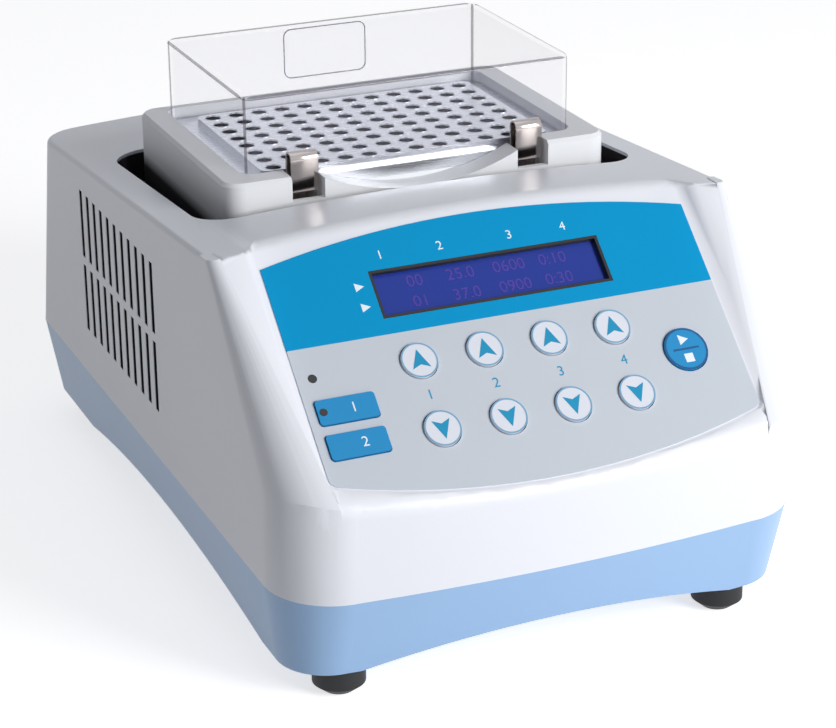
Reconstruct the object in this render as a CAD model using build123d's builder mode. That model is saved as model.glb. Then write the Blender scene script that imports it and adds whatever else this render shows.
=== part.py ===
"""Thermal mixer: a heated 96-well block on an orbiting carriage, in a two-part moulded case.

Units are millimetres. +X is to the right of someone facing the control panel, +Y runs from the
panel to the back, +Z is up. The origin is at the middle of the footprint, on the bench.
"""
import os
from math import cos, radians, sin, tan

from build123d import *

# ---------------------------------------------------------------- case
CASE_WIDTH = 190.0
CASE_DEPTH = 294.0
CASE_WALL = 3.0
SEAM_Z = 41.0
FRONT_CORNER_R = 24.0
REAR_CORNER_R = 14.0
FRONT_BOW = 3.5                 # how far the front face bulges between its corners
REAR_LEAN = 14.6                # degrees that the back wall leans forward
TOP_TILT = 4.38                 # degrees that the top rises towards the panel
TOP_REAR_Z = 122.0              # height of the side edge of the top, at the back
TOP_CROWN = 4.0                 # how far the top is higher along its middle
TOP_EDGE_R = 2.0
CHIN_R = 8.0                    # rounding between the slope and the front wall
BROW_R = 8.0                    # rounding between the panel and the top
SHOULDER_MIN_R = 2.5

# ---------------------------------------------------------------- sloping front
PANEL_ANGLE = 41.8              # degrees from level
PANEL_SETBACK = 72.2            # from the front of the case to a point of the recessed panel
PANEL_Z = 133.5                 # height of that point
CHEEK_ANGLE = 44.3              # the raised cheeks are steeper than the panel between them
CHEEK_STEP = 1.0                # how far the cheeks stand proud at the panel's lower end
CHEEK_BROW_R = 3.0              # rounding from cheek to side wall, at the brow
CHEEK_CHIN_R = 18.0             # the same, at the chin
CHEEK_WIDTH = 17.3              # from the side of the case to the recess
RECESS_DRAFT = 46.0             # slant of the recess walls, degrees from the panel's normal
RECESS_SIDE_END = -81.3         # where the straight sides end, up the slope from the panel point
RECESS_CORNER_R = 4.0
RECESS_BOTTOM = -92.6           # lowest point of the curved lower edge
LABEL_TOP = 6.4                 # highest point of the label's curved upper edge
LABEL_SIDE_TOP = -2.8
LABEL_THICK = 0.4
LABEL_GAP = 0.3

# ---------------------------------------------------------------- display and keys
LCD_HALF_WIDTH = 42.0
LCD_BOTTOM = -27.3
LCD_TOP = -9.4
LCD_SINK = 1.6                  # how far the window lies below the panel
LCD_MARGIN = 3.0
LCD_GLASS = 0.8
LCD_MODULE = 6.0
KEY_START_GAP = 23.0            # from the last column of arrow keys to the start key
KEY_COLUMNS = 4
KEY_UP_S = -44.2
KEY_DOWN_S = -69.0
KEY_R = 6.3
START_INSET = 19.6              # the keys and the lamp keep their place from the recess's edge
START_S = -56.9
START_R = 7.8
MODE_INSET = 13.7
MODE_S = (-56.4, -68.8)
MODE_LENGTH = 20.4
MODE_HEIGHT = 8.8
MODE_CORNER_R = 1.2
KEY_GAP = 0.3
KEY_PROUD = 0.8
KEY_TRAVEL = 0.5
KEY_FLANGE = 1.2
KEY_FLANGE_THICK = 1.0
BOARD_POST_INSET = 9.7
BOARD_POST_LOW = -78.5
BOARD_POST_HIGH = -36.0
LAMP_R = 1.5
LAMP_INSET = 5.7
LAMP_S = -43.9
BOARD_THICK = 1.6

# ---------------------------------------------------------------- base and feet
BASE_WALL = 3.0
BASE_BOTTOM_Z = 12.0
BASE_TAPER_X = 4.2
BASE_TAPER_Y = 8.0
BASE_FLOOR_Z = 24.0
BASE_FLOOR = 3.0
BASE_FRONT_R = 18.0
BASE_REAR_R = 11.0
ARCH_RISE_FRONT = 7.8
ARCH_RISE_SIDE = 8.5
ARCH_FRONT_REACH = 3.0          # how far each arch stops short of the feet's middles
ARCH_SIDE_FRONT_REACH = 18.5
ARCH_SIDE_REAR_REACH = 30.0
FOOT_SIDE_INSET = 24.0          # from the sides and ends of the case to the feet
FOOT_FRONT_INSET = 24.5
FOOT_REAR_INSET = 29.0
FOOT_R = 9.0
FOOT_BOSS_WALL = 3.0             # the base's boss stands out this far round the foot
FOOT_TIP_R = 5.4
FOOT_BEVEL = 3.0                # height of the foot's tapered tip
FOOT_SEAT = 5.0                 # height of the screw head's seat in the foot
SCREW_R = 1.75
SCREW_HEAD_R = 3.2
SCREW_HEAD = 2.2                # the heads are hexagons
SCREW_HOLE_GAP = 0.05
BOSS_R = 5.0
CASE_BOSS_SIDE_INSET = 14.0
CASE_BOSS_END_INSET = 43.0
CASE_BOSS_HEIGHT = 20.0

# ---------------------------------------------------------------- side vents
VENT_COLUMNS = 11
VENT_PITCH = 8.4
VENT_FRONT_Y = -13.6
VENT_WIDTH = 3.4
VENT_HEIGHT = 26.4
VENT_ROWS_Z = (60.0, 89.6)

# ---------------------------------------------------------------- carriage, block and cover
ORBIT_R = 1.5
CARRIAGE_WIDTH = 145.0
CARRIAGE_DEPTH = 98.6
CARRIAGE_Y = 17.7
CARRIAGE_TOP = 145.4
CARRIAGE_HEIGHT = 30.0
CARRIAGE_CORNER_R = 7.0
CARRIAGE_FLOOR = 3.0
CARRIAGE_EDGE = 1.2             # bevel round the carriage's rim
OPENING_SIDE_GAP = 10.5         # from the carriage to the edge of the case's opening
OPENING_FRONT_GAP = 6.4
OPENING_REAR_GAP = 6.0
OPENING_CORNER_R = 14.0
SCOOP_CHORD = 80.0
SCOOP_DEPTH = 9.8
WELL_PITCH = 9.0
WELL_COLUMNS = 12
WELL_ROWS = 8
WELL_R = 3.1
WELL_SIDES = 8
WELL_DEPTH = 18.0
WELL_Y = 16.0                   # middle of the well grid
FIELD_MARGIN_X = 5.2            # from an outer well's centre to the edge of the raised field
FIELD_MARGIN_Y = 3.8
FIELD_REAR_MARGIN = 4.6
FIELD_HEIGHT = 3.0
BLOCK_TOP_DROP = 0.8            # the block's top is this far below the carriage's rim
BLOCK_FLANGE = 4.0
BLOCK_FIT = 0.35
BODY_INSET = 5.4                # from the block's flange edge to its lower body
LEDGE_WIDTH = 3.0
COVER_SIDE_ROOM = 7.9           # from the raised field to the outside of the cover
COVER_FRONT_ROOM = 2.4
COVER_REAR_ROOM = 10.0
COVER_TOP = 172.6
COVER_WALL = 1.8
COVER_CORNER_R = 5.0
COVER_FIT = 0.6                 # between the cover and the pocket it drops into
COVER_EDGE = 1.1
PAD_WIDTH = 33.0
PAD_HEIGHT = 19.0
PAD_THICK = 0.6
PAD_CORNER_R = 3.0

CLIP_X = 42.6
CLIP_WIDTH = 10.0
CLIP_THICK = 0.8
CLIP_TOP_Z = 152.6
CLIP_BEND_R = 2.8
CLIP_LIP_Z = 138.6
CLIP_FOOT_Z = 127.0
CLIP_GAP = 0.3
CLIP_SLOT_SIDE = 1.0
CLIP_SLOT_DEPTH = 6.6
CLIP_NOTCH_Z = 136.6

# ---------------------------------------------------------------- drive
CHASSIS_THICK = 2.0
CHASSIS_BOSS_GAP = 3.0          # from the chassis to the case screws' bosses
CHASSIS_FRONT_INSET = 35.0
CHASSIS_REAR_INSET = 43.0
DECK_Z = 84.0                   # underside of the deck plate
DECK_THICK = 4.0
DECK_FAN_GAP = 6.0
DECK_HALF_DEPTH = 50.0
DECK_CORNER_R = 6.0
PILLAR_R = 5.0
PILLAR_INSET = 10.0
PILLAR_Y = 41.0
MOTOR_R = 26.0
MOTOR_HEIGHT = 34.0
MOTOR_FLANGE = 60.0
MOTOR_FLANGE_THICK = 3.0
SHAFT_R = 5.0
SHAFT_SINK = 24.0               # how deep the shaft runs into the motor
BEARING_R = 11.0
RUNNING_GAP = 0.05
SEAT_GAP = 0.02
ROTOR_GAP = 0.5
WEIGHT_R = 24.0
WEIGHT_THICK = 7.0
HUB_R = 9.0
PIN_R = 4.0
PIN_BEARING_R = 9.5
PLATE_LIFT = 3.0                # from the counterweight to the drive plate
PLATE_THICK = 6.0
PLATE_HALF_WIDTH = 60.0
PLATE_HALF_DEPTH = 40.0
CRANK_X = 46.0
CRANK_Y = 26.0
CRANK_R = 9.0
CRANK_DISC = 4.5
CRANK_PIN_R = 3.0
CRANK_SHOULDER_R = 5.0
CRANK_OPEN_GAP = 0.5            # clearance at the pivots where the linkage is opened
SPACER_R = 5.0
SPACER_X = 53.0
SPACER_Y = 34.0
HEATER_THICK = 3.0
INSULATION_THICK = 2.5
SENSOR_R = 1.5
SENSOR_LENGTH = 6.5
SENSOR_Z = 130.0

# ---------------------------------------------------------------- electrics
FAN_SIZE = 40.0
FAN_THICK = 10.0
FAN_Y = 28.0
FAN_Z = 66.0
FAN_DUCT_R = 18.5
FAN_HUB_R = 8.5
FAN_BLADE_R = 17.6
FAN_BLADES = 7
FAN_BLADE_TWIST = 35.0
FAN_BLADE_THICK = 1.0
FAN_BLADE_TIP = 0.8             # how far the blades stay inside the frame's faces
FAN_PIN_R = 2.0
FAN_ARM = 3.0
BACK_POCKET_X = -20.0
BACK_POCKET_WIDTH = 104.0
BACK_POCKET_Z = 70.0
BACK_POCKET_HEIGHT = 40.0
BACK_PANEL_INSET = 25.0         # from the back of the case to the upright panel in the pocket
INLET_X = -45.0
INLET_WIDTH = 27.4
INLET_HEIGHT = 30.0
INLET_BEZEL_WIDTH = 32.0
INLET_BEZEL_HEIGHT = 34.0
INLET_BEZEL = 2.5
INLET_CORNER_R = 1.5
INLET_DEPTH = 20.0
INLET_CAVITY_WIDTH = 24.2
INLET_CAVITY_HEIGHT = 16.6
INLET_CAVITY_DEPTH = 16.0
INLET_CAVITY_UP = 5.0
BLADE_SPREAD = 7.0
BLADE_DROP = 1.6
BLADE_RISE = 2.4
BLADE_WIDTH = 2.0
BLADE_TALL = 5.0
FUSE_WIDTH = 20.0
FUSE_HEIGHT = 7.0
FUSE_DEPTH = 14.0
FUSE_DOWN = 10.5
FUSE_PROUD = 1.0
SWITCH_X = 8.0
SWITCH_WIDTH = 19.0
SWITCH_HEIGHT = 27.0
SWITCH_BEZEL = 1.6
SWITCH_WALL = 2.0
SWITCH_DEPTH = 14.0
ROCKER_GAP = 0.5
ROCKER_PROUD = 2.2
ROCKER_BACK = 3.0
ROCKER_TUCK = 1.6
ROCKER_PIN_R = 1.4
ROCKER_AXIS_IN = 1.0
BOARD_MIDDLE_GAP = 11.0         # between the two boards
SUPPLY_SIDE_INSET = 4.0         # from the chassis's edges to the boards
SUPPLY_FRONT_INSET = 5.0
SUPPLY_PILLAR_GAP = 12.7
SUPPLY_OFFSET = 7.0             # from the centre line to the supply board
CONTROL_SIDE_INSET = 5.0
CONTROL_FRONT_INSET = 8.0
CONTROL_PILLAR_GAP = 15.7
BOARD_STANDOFF = 6.0
STANDOFF_R = 3.0
# large components of each board: place on the board, width, depth and height
SUPPLY_BLOCKS = [(-10, 8, 28, 26, 22), (18, 10, 12, 30, 18), (-14, -20, 18, 14, 14), (14, -18, 20, 16, 12)]
CONTROL_BLOCKS = [(0, 4, 18, 18, 2), (-20, -18, 16, 10, 8), (20, -16, 14, 16, 10), (22, 18, 10, 12, 6)]

# ---------------------------------------------------------------- shaping of the case's front
TRIM_MARGIN = 6.0
TRIM_DEPTH = 60.0
CHIN_RUN_OUT = 22.0             # the trim goes on past the chin and past the brow
BROW_LENGTH = 96.0
BROW_RUN_OUT = 12.0
CUT_OVER = 20.0                 # how far a cutting solid stands out past what it cuts
FIT_GAP = 0.3                   # clearance round pieces that drop into a cut-out

os.makedirs("parts", exist_ok=True)

# ---------------------------------------------------------------- worked out from the above
HALF_WIDTH = CASE_WIDTH / 2
HALF_DEPTH = CASE_DEPTH / 2
INNER_X = HALF_WIDTH - CASE_WALL
PANEL_Y = -HALF_DEPTH + PANEL_SETBACK
RECESS_HALF_WIDTH = HALF_WIDTH - CHEEK_WIDTH
START_X = RECESS_HALF_WIDTH - START_INSET
KEY_PITCH = 2 * (START_X - KEY_START_GAP) / (KEY_COLUMNS - 1)
MODE_X = MODE_INSET - RECESS_HALF_WIDTH
LAMP_X = LAMP_INSET - RECESS_HALF_WIDTH
BOARD_POST_X = RECESS_HALF_WIDTH - BOARD_POST_INSET
FOOT_X = HALF_WIDTH - FOOT_SIDE_INSET
FOOT_Y_FRONT = -HALF_DEPTH + FOOT_FRONT_INSET
FOOT_Y_REAR = HALF_DEPTH - FOOT_REAR_INSET
ARCH_HALF_FRONT = FOOT_X - ARCH_FRONT_REACH
CASE_BOSS_X = HALF_WIDTH - CASE_BOSS_SIDE_INSET
CASE_BOSS_Y = HALF_DEPTH - CASE_BOSS_END_INSET
BACK_PANEL_Y = HALF_DEPTH - BACK_PANEL_INSET
FIELD_HALF_X = (WELL_COLUMNS - 1) / 2 * WELL_PITCH + FIELD_MARGIN_X
FIELD_FRONT = WELL_Y - (WELL_ROWS - 1) / 2 * WELL_PITCH - FIELD_MARGIN_Y
FIELD_REAR = WELL_Y + (WELL_ROWS - 1) / 2 * WELL_PITCH + FIELD_REAR_MARGIN
COVER_WIDTH = 2 * (FIELD_HALF_X + COVER_SIDE_ROOM)
COVER_DEPTH = FIELD_REAR + COVER_REAR_ROOM - FIELD_FRONT + COVER_FRONT_ROOM
COVER_Y = (FIELD_REAR + COVER_REAR_ROOM + FIELD_FRONT - COVER_FRONT_ROOM) / 2
DECK_HALF_WIDTH = INNER_X - FAN_THICK - DECK_FAN_GAP
PILLAR_X = DECK_HALF_WIDTH - PILLAR_INSET
CHASSIS_HALF_WIDTH = CASE_BOSS_X - BOSS_R - CHASSIS_BOSS_GAP
CHASSIS_FRONT_Y = -HALF_DEPTH + CHASSIS_FRONT_INSET
CHASSIS_REAR_Y = HALF_DEPTH - CHASSIS_REAR_INSET
PILLAR_FRONT_Y = CARRIAGE_Y - PILLAR_Y - PILLAR_R
SUPPLY_WIDTH = CHASSIS_HALF_WIDTH - SUPPLY_SIDE_INSET - SUPPLY_OFFSET
SUPPLY_X = -SUPPLY_OFFSET - SUPPLY_WIDTH / 2
SUPPLY_DEPTH = PILLAR_FRONT_Y - SUPPLY_PILLAR_GAP - CHASSIS_FRONT_Y - SUPPLY_FRONT_INSET
SUPPLY_Y = CHASSIS_FRONT_Y + SUPPLY_FRONT_INSET + SUPPLY_DEPTH / 2
CONTROL_WIDTH = CHASSIS_HALF_WIDTH - CONTROL_SIDE_INSET + SUPPLY_OFFSET - BOARD_MIDDLE_GAP
CONTROL_X = BOARD_MIDDLE_GAP - SUPPLY_OFFSET + CONTROL_WIDTH / 2
CONTROL_DEPTH = PILLAR_FRONT_Y - CONTROL_PILLAR_GAP - CHASSIS_FRONT_Y - CONTROL_FRONT_INSET
CONTROL_Y = CHASSIS_FRONT_Y + CONTROL_FRONT_INSET + CONTROL_DEPTH / 2
LEAN_SLOPE = tan(radians(REAR_LEAN))
CROWN_REACH = TOP_CROWN * (1 - (CASE_WIDTH / HALF_WIDTH) ** 2)   # height of the crown's arc, one width out


def slope_plane(angle, y, z):
    """Plane lying on a slope: its x runs along X, its y up the slope and its z out of it."""
    return Plane(origin=(0, y, z), x_dir=(1, 0, 0), z_dir=(0, -sin(radians(angle)), cos(radians(angle))))


def on_plane(plane, s, n=0.0):
    """Point of the centre plane, s up a slope plane and n out of it."""
    return plane.origin + plane.y_dir * s + plane.z_dir * n


def rear_wall_y(z):
    """Where the outside of the leaning back wall is, at a height."""
    return HALF_DEPTH - (z - SEAM_Z) * LEAN_SLOPE


PANEL = slope_plane(PANEL_ANGLE, PANEL_Y, PANEL_Z)
CHEEK_START = on_plane(PANEL, RECESS_BOTTOM, CHEEK_STEP)
CHEEK = slope_plane(CHEEK_ANGLE, CHEEK_START.Y, CHEEK_START.Z)
TOP_REAR_Y = rear_wall_y(TOP_REAR_Z)


def outline(half_width, front, rear, front_r, rear_r=0.0):
    """Plan outline of the case: rounded corners, and a front that bows out between them."""
    shoulder = front + FRONT_BOW
    with BuildSketch(Plane.XY) as plan:
        with BuildLine():
            Polyline((-half_width, shoulder + front_r), (-half_width, rear), (half_width, rear),
                     (half_width, shoulder + front_r))
            RadiusArc((half_width, shoulder + front_r), (half_width - front_r, shoulder), front_r)
            ThreePointArc((half_width - front_r, shoulder), (0, front), (-half_width + front_r, shoulder))
            RadiusArc((-half_width + front_r, shoulder), (-half_width, shoulder + front_r), front_r)
        make_face()
        if rear_r:
            fillet(plan.vertices().sort_by(Axis.Y)[-2:], rear_r)
    return plan.sketch


def slope_trim(slope, brow_r, chin_r):
    """What has to go from a block to leave the sloping front with its rounded shoulders."""
    side = HALF_WIDTH + TRIM_MARGIN
    with BuildPart() as trim:
        with BuildSketch(slope.offset(TRIM_DEPTH / 2)):
            Rectangle(2 * side, 2 * CASE_DEPTH)
        extrude(amount=TRIM_DEPTH / 2, both=True)
        for hand in (-1, 1):
            sections = []
            for t in (-CHIN_RUN_OUT, BROW_LENGTH + BROW_RUN_OUT):
                radius = brow_r + (chin_r - brow_r) * (1 - t / BROW_LENGTH)
                across = Plane(origin=on_plane(slope, t), x_dir=(1, 0, 0), z_dir=-slope.y_dir)
                inner = hand * (HALF_WIDTH - radius)
                edge = hand * HALF_WIDTH
                with BuildSketch(across) as section:
                    with BuildLine():
                        RadiusArc((edge, radius), (inner, 0), hand * radius)
                        Polyline((inner, 0), (inner, -TRIM_MARGIN), (hand * side, -TRIM_MARGIN),
                                 (hand * side, radius), (edge, radius))
                    make_face()
                sections.append(section.sketch)
            loft(sections, ruled=True)
    return trim.part


def case_form(inset, slope, brow_r, chin_r):
    """Outer or inner form of the top shell, inset all round and cut along a slope plane."""
    plan = outline(HALF_WIDTH - inset, -HALF_DEPTH + inset, HALF_DEPTH - inset, FRONT_CORNER_R - inset)
    back = Plane(origin=(0, HALF_DEPTH - inset, SEAM_Z), x_dir=(-1, 0, 0), z_dir=(0, 1, LEAN_SLOPE))
    tilt = radians(TOP_TILT)
    along_top = Plane(origin=(0, TOP_REAR_Y, TOP_REAR_Z - inset), x_dir=(1, 0, 0),
                      z_dir=(0, -cos(tilt), sin(tilt)))
    with BuildPart() as form:
        extrude(plan.moved(Location((0, 0, SEAM_Z))), amount=CASE_WIDTH)
        split(bisect_by=back, keep=Keep.BOTTOM)
        fillet(form.faces().sort_by(Axis((0, 0, SEAM_Z), back.z_dir))[-1].edges().filter_by(Plane.YZ),
               radius=REAR_CORNER_R - inset)
        with BuildSketch(along_top):
            with BuildLine():
                ThreePointArc((-CASE_WIDTH, CROWN_REACH), (0, TOP_CROWN), (CASE_WIDTH, CROWN_REACH))
                Polyline((CASE_WIDTH, CROWN_REACH), (CASE_WIDTH, -CASE_WIDTH), (-CASE_WIDTH, -CASE_WIDTH),
                         (-CASE_WIDTH, CROWN_REACH))
            make_face()
        extrude(amount=CASE_DEPTH * 1.5, both=True, mode=Mode.INTERSECT)
        add(slope_trim(slope, brow_r, chin_r), mode=Mode.SUBTRACT)
    return form.part


def plate_outline(width, depth, corner_r, y):
    """Rounded rectangle centred on a y, for plates and pockets."""
    with BuildSketch(Plane.XY) as plan:
        with Locations((0, y)):
            RectangleRounded(width, depth, corner_r)
    return plan.sketch


def panel_outline(half_width, top_side, top_middle, side_end, bottom, corner_r):
    """Outline on the panel plane: straight sides between an upper and a lower arc."""
    with BuildSketch(PANEL) as shape:
        with BuildLine():
            Line((-half_width, top_side), (-half_width, side_end))
            ThreePointArc((-half_width, side_end), (0, bottom), (half_width, side_end))
            Line((half_width, side_end), (half_width, top_side))
            if top_middle > top_side:
                ThreePointArc((half_width, top_side), (0, top_middle), (-half_width, top_side))
            else:
                Line((half_width, top_side), (-half_width, top_side))
        make_face()
        fillet(shape.vertices().sort_by(PANEL_UP)[:2], corner_r)
    return shape.sketch


def key_layout():
    """Name, place on the panel and shape of each key."""
    keys = []
    for column in range(KEY_COLUMNS):
        x = (column - (KEY_COLUMNS - 1) / 2) * KEY_PITCH
        keys.append((f"key_up_{column + 1}", x, KEY_UP_S, KEY_R))
        keys.append((f"key_down_{column + 1}", x, KEY_DOWN_S, KEY_R))
    keys.append(("key_start", START_X, START_S, START_R))
    for row, s in enumerate(MODE_S):
        keys.append((f"key_mode_{row + 1}", MODE_X, s, 0))
    return keys


def key_shapes(grow):
    """Draw every key's outline in the sketch that is open, grown all round."""
    for _, x, s, radius in key_layout():
        with Locations((x, s)):
            if radius:
                Circle(radius + grow)
            else:
                RectangleRounded(MODE_LENGTH + 2 * grow, MODE_HEIGHT + 2 * grow, MODE_CORNER_R + grow)


def save(builder, name):
    """Label a finished piece and write it to its STEP file."""
    builder.part.label = name
    export_step(builder.part, f"parts/{name}.step")


PANEL_UP = Axis(PANEL.origin, PANEL.y_dir)
INNER_START = on_plane(PANEL, RECESS_BOTTOM, -CASE_WALL)
INNER_SLOPE = slope_plane(PANEL_ANGLE, INNER_START.Y, INNER_START.Z)
PANEL_BACK = -CASE_WALL                         # underside of the panel wall, out of the panel plane
BOARD_TOP = PANEL_BACK - KEY_GAP - KEY_FLANGE_THICK - KEY_TRAVEL - KEY_GAP
CARRIAGE_BOTTOM = CARRIAGE_TOP - CARRIAGE_HEIGHT
CARRIAGE_FRONT_Y = CARRIAGE_Y - CARRIAGE_DEPTH / 2
OPENING_WIDTH = CARRIAGE_WIDTH + 2 * OPENING_SIDE_GAP
OPENING_DEPTH = CARRIAGE_DEPTH + OPENING_FRONT_GAP + OPENING_REAR_GAP
OPENING_Y = CARRIAGE_Y + (OPENING_REAR_GAP - OPENING_FRONT_GAP) / 2
MOTOR_X = -ORBIT_R
DECK_TOP = DECK_Z + DECK_THICK
WEIGHT_Z = DECK_TOP + ROTOR_GAP
PIN_Z = WEIGHT_Z + WEIGHT_THICK
PLATE_Z = PIN_Z + PLATE_LIFT
PLATE_TOP = PLATE_Z + PLATE_THICK
CHASSIS_TOP = BASE_FLOOR_Z + CHASSIS_THICK
FLOOR_UNDERSIDE = BASE_FLOOR_Z - BASE_FLOOR

# ================================================================ top housing
opening = plate_outline(OPENING_WIDTH, OPENING_DEPTH, OPENING_CORNER_R, OPENING_Y)
skirt_outline = plate_outline(OPENING_WIDTH + 2 * CASE_WALL, OPENING_DEPTH + 2 * CASE_WALL,
                              OPENING_CORNER_R + CASE_WALL, OPENING_Y)
outer_form = case_form(0, CHEEK, CHEEK_BROW_R, CHEEK_CHIN_R)
inner_form = case_form(CASE_WALL, INNER_SLOPE, SHOULDER_MIN_R, CHEEK_CHIN_R - CASE_WALL)
recess_outline = panel_outline(RECESS_HALF_WIDTH, CUT_OVER, CUT_OVER, RECESS_SIDE_END, RECESS_BOTTOM,
                               RECESS_CORNER_R)
back_pocket_rear = HALF_DEPTH + CUT_OVER

with BuildPart() as skirt:
    extrude(skirt_outline.moved(Location((0, 0, CARRIAGE_BOTTOM))), amount=CARRIAGE_HEIGHT)
    add(outer_form, mode=Mode.INTERSECT)

with BuildPart() as pocket_box:
    with BuildSketch(Plane.XZ.offset(-(BACK_PANEL_Y - CASE_WALL))):
        with Locations((BACK_POCKET_X, BACK_POCKET_Z)):
            Rectangle(BACK_POCKET_WIDTH + 2 * CASE_WALL, BACK_POCKET_HEIGHT + 2 * CASE_WALL)
    extrude(amount=-(back_pocket_rear - BACK_PANEL_Y + CASE_WALL))
    add(outer_form, mode=Mode.INTERSECT)

with BuildPart() as top_housing:
    add(outer_form)
    fillet(top_housing.faces().sort_by(Axis.Z)[-1].outer_wire().edges(), radius=TOP_EDGE_R)
    chin = top_housing.edges().filter_by(
        lambda edge: edge.center().Y < -HALF_DEPTH + FRONT_CORNER_R
        and abs(edge.center().Z - CHEEK_START.Z) < CASE_WALL + 1
        and edge.bounding_box().size.Z < TRIM_MARGIN)
    fillet(chin, radius=CHIN_R)
    add(inner_form, mode=Mode.SUBTRACT)
    add(skirt.part)
    add(pocket_box.part)
    # posts under the panel that carry the display board
    with BuildSketch(PANEL.offset(BOARD_TOP)):
        with Locations((0, (BOARD_POST_LOW + BOARD_POST_HIGH) / 2)):
            with GridLocations(2 * BOARD_POST_X, BOARD_POST_HIGH - BOARD_POST_LOW, 2, 2):
                Circle(STANDOFF_R)
    extrude(amount=-BOARD_TOP)
    # recessed panel, open at the brow
    extrude(recess_outline, amount=CUT_OVER, taper=-RECESS_DRAFT, mode=Mode.SUBTRACT)
    brow = top_housing.edges().filter_by(
        lambda edge: abs(PANEL.to_local_coords(edge @ 0.5).Z) < RUNNING_GAP
        and PANEL.to_local_coords(edge @ 0.5).Y > 0 and edge.length > RECESS_HALF_WIDTH)
    fillet(brow, radius=BROW_R)
    # the carriage's opening, right through the top and its skirt
    extrude(opening.moved(Location((0, 0, CARRIAGE_BOTTOM - 1))), amount=CARRIAGE_HEIGHT, mode=Mode.SUBTRACT)
    # display window, keys and lamp
    with BuildSketch(PANEL.offset(PANEL_BACK - 1)):
        with Locations((0, (LCD_BOTTOM + LCD_TOP) / 2)):
            Rectangle(2 * LCD_HALF_WIDTH, LCD_TOP - LCD_BOTTOM)
        key_shapes(KEY_GAP)
        with Locations((LAMP_X, LAMP_S)):
            Circle(LAMP_R + SCREW_HOLE_GAP)
    extrude(amount=CASE_WALL + 1, mode=Mode.SUBTRACT)
    # side vents
    for side in (-1, 1):
        with BuildSketch(Plane.YZ.offset(side * (HALF_WIDTH + 1))):
            for low in VENT_ROWS_Z:
                for column in range(VENT_COLUMNS):
                    with Locations((VENT_FRONT_Y + column * VENT_PITCH, low + VENT_HEIGHT / 2)):
                        Rectangle(VENT_WIDTH, VENT_HEIGHT)
        extrude(amount=-side * (CASE_WALL + 1), mode=Mode.SUBTRACT)
    # back pocket with the cut-outs for the inlet and the switch
    with BuildSketch(Plane.XZ.offset(-BACK_PANEL_Y)):
        with Locations((BACK_POCKET_X, BACK_POCKET_Z)):
            Rectangle(BACK_POCKET_WIDTH, BACK_POCKET_HEIGHT)
    extrude(amount=-(back_pocket_rear - BACK_PANEL_Y), mode=Mode.SUBTRACT)
    with BuildSketch(Plane.XZ.offset(-BACK_PANEL_Y)):
        with Locations((INLET_X, BACK_POCKET_Z)):
            Rectangle(INLET_WIDTH, INLET_HEIGHT)
        with Locations((SWITCH_X, BACK_POCKET_Z)):
            Rectangle(SWITCH_WIDTH, SWITCH_HEIGHT)
    extrude(amount=CASE_WALL, mode=Mode.SUBTRACT)
    # bosses that take the case screws, each webbed to the side wall
    with BuildSketch(Plane.XY.offset(SEAM_Z)):
        with GridLocations(2 * CASE_BOSS_X, 2 * CASE_BOSS_Y, 2, 2):
            Circle(BOSS_R)
        with GridLocations(CASE_BOSS_X + INNER_X + 1, 2 * CASE_BOSS_Y, 2, 2):
            Rectangle(INNER_X + 1 - CASE_BOSS_X, CASE_WALL)
    extrude(amount=CASE_BOSS_HEIGHT)
    with BuildSketch(Plane.XY.offset(SEAM_Z)):
        with GridLocations(2 * CASE_BOSS_X, 2 * CASE_BOSS_Y, 2, 2):
            Circle(SCREW_R + SCREW_HOLE_GAP)
    extrude(amount=CASE_BOSS_HEIGHT - 1, mode=Mode.SUBTRACT)
save(top_housing, "top_housing")

# ================================================================ base shell
base_front_bottom = -HALF_DEPTH + BASE_TAPER_Y
base_rear_bottom = HALF_DEPTH - BASE_TAPER_Y


def base_form(inset):
    """Form of the base, from its bottom edge up to the seam."""
    low = outline(HALF_WIDTH - BASE_TAPER_X - inset, base_front_bottom + inset, base_rear_bottom - inset,
                  BASE_FRONT_R - inset, BASE_REAR_R - inset)
    high = outline(HALF_WIDTH - inset, -HALF_DEPTH + inset, HALF_DEPTH - inset,
                   FRONT_CORNER_R - inset, REAR_CORNER_R - inset)
    with BuildPart() as form:
        loft([low.moved(Location((0, 0, BASE_BOTTOM_Z))), high.moved(Location((0, 0, SEAM_Z)))], ruled=True)
    return form.part


base_hollow = base_form(BASE_WALL)
FOOT_PLACES = [(x, y) for x in (-FOOT_X, FOOT_X) for y in (FOOT_Y_FRONT, FOOT_Y_REAR)]

with BuildPart() as floor_slab:
    with BuildSketch(Plane.XY.offset(FLOOR_UNDERSIDE)):
        Rectangle(CASE_WIDTH, CASE_DEPTH)
    extrude(amount=BASE_FLOOR)
    add(base_form(0), mode=Mode.INTERSECT)

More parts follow.
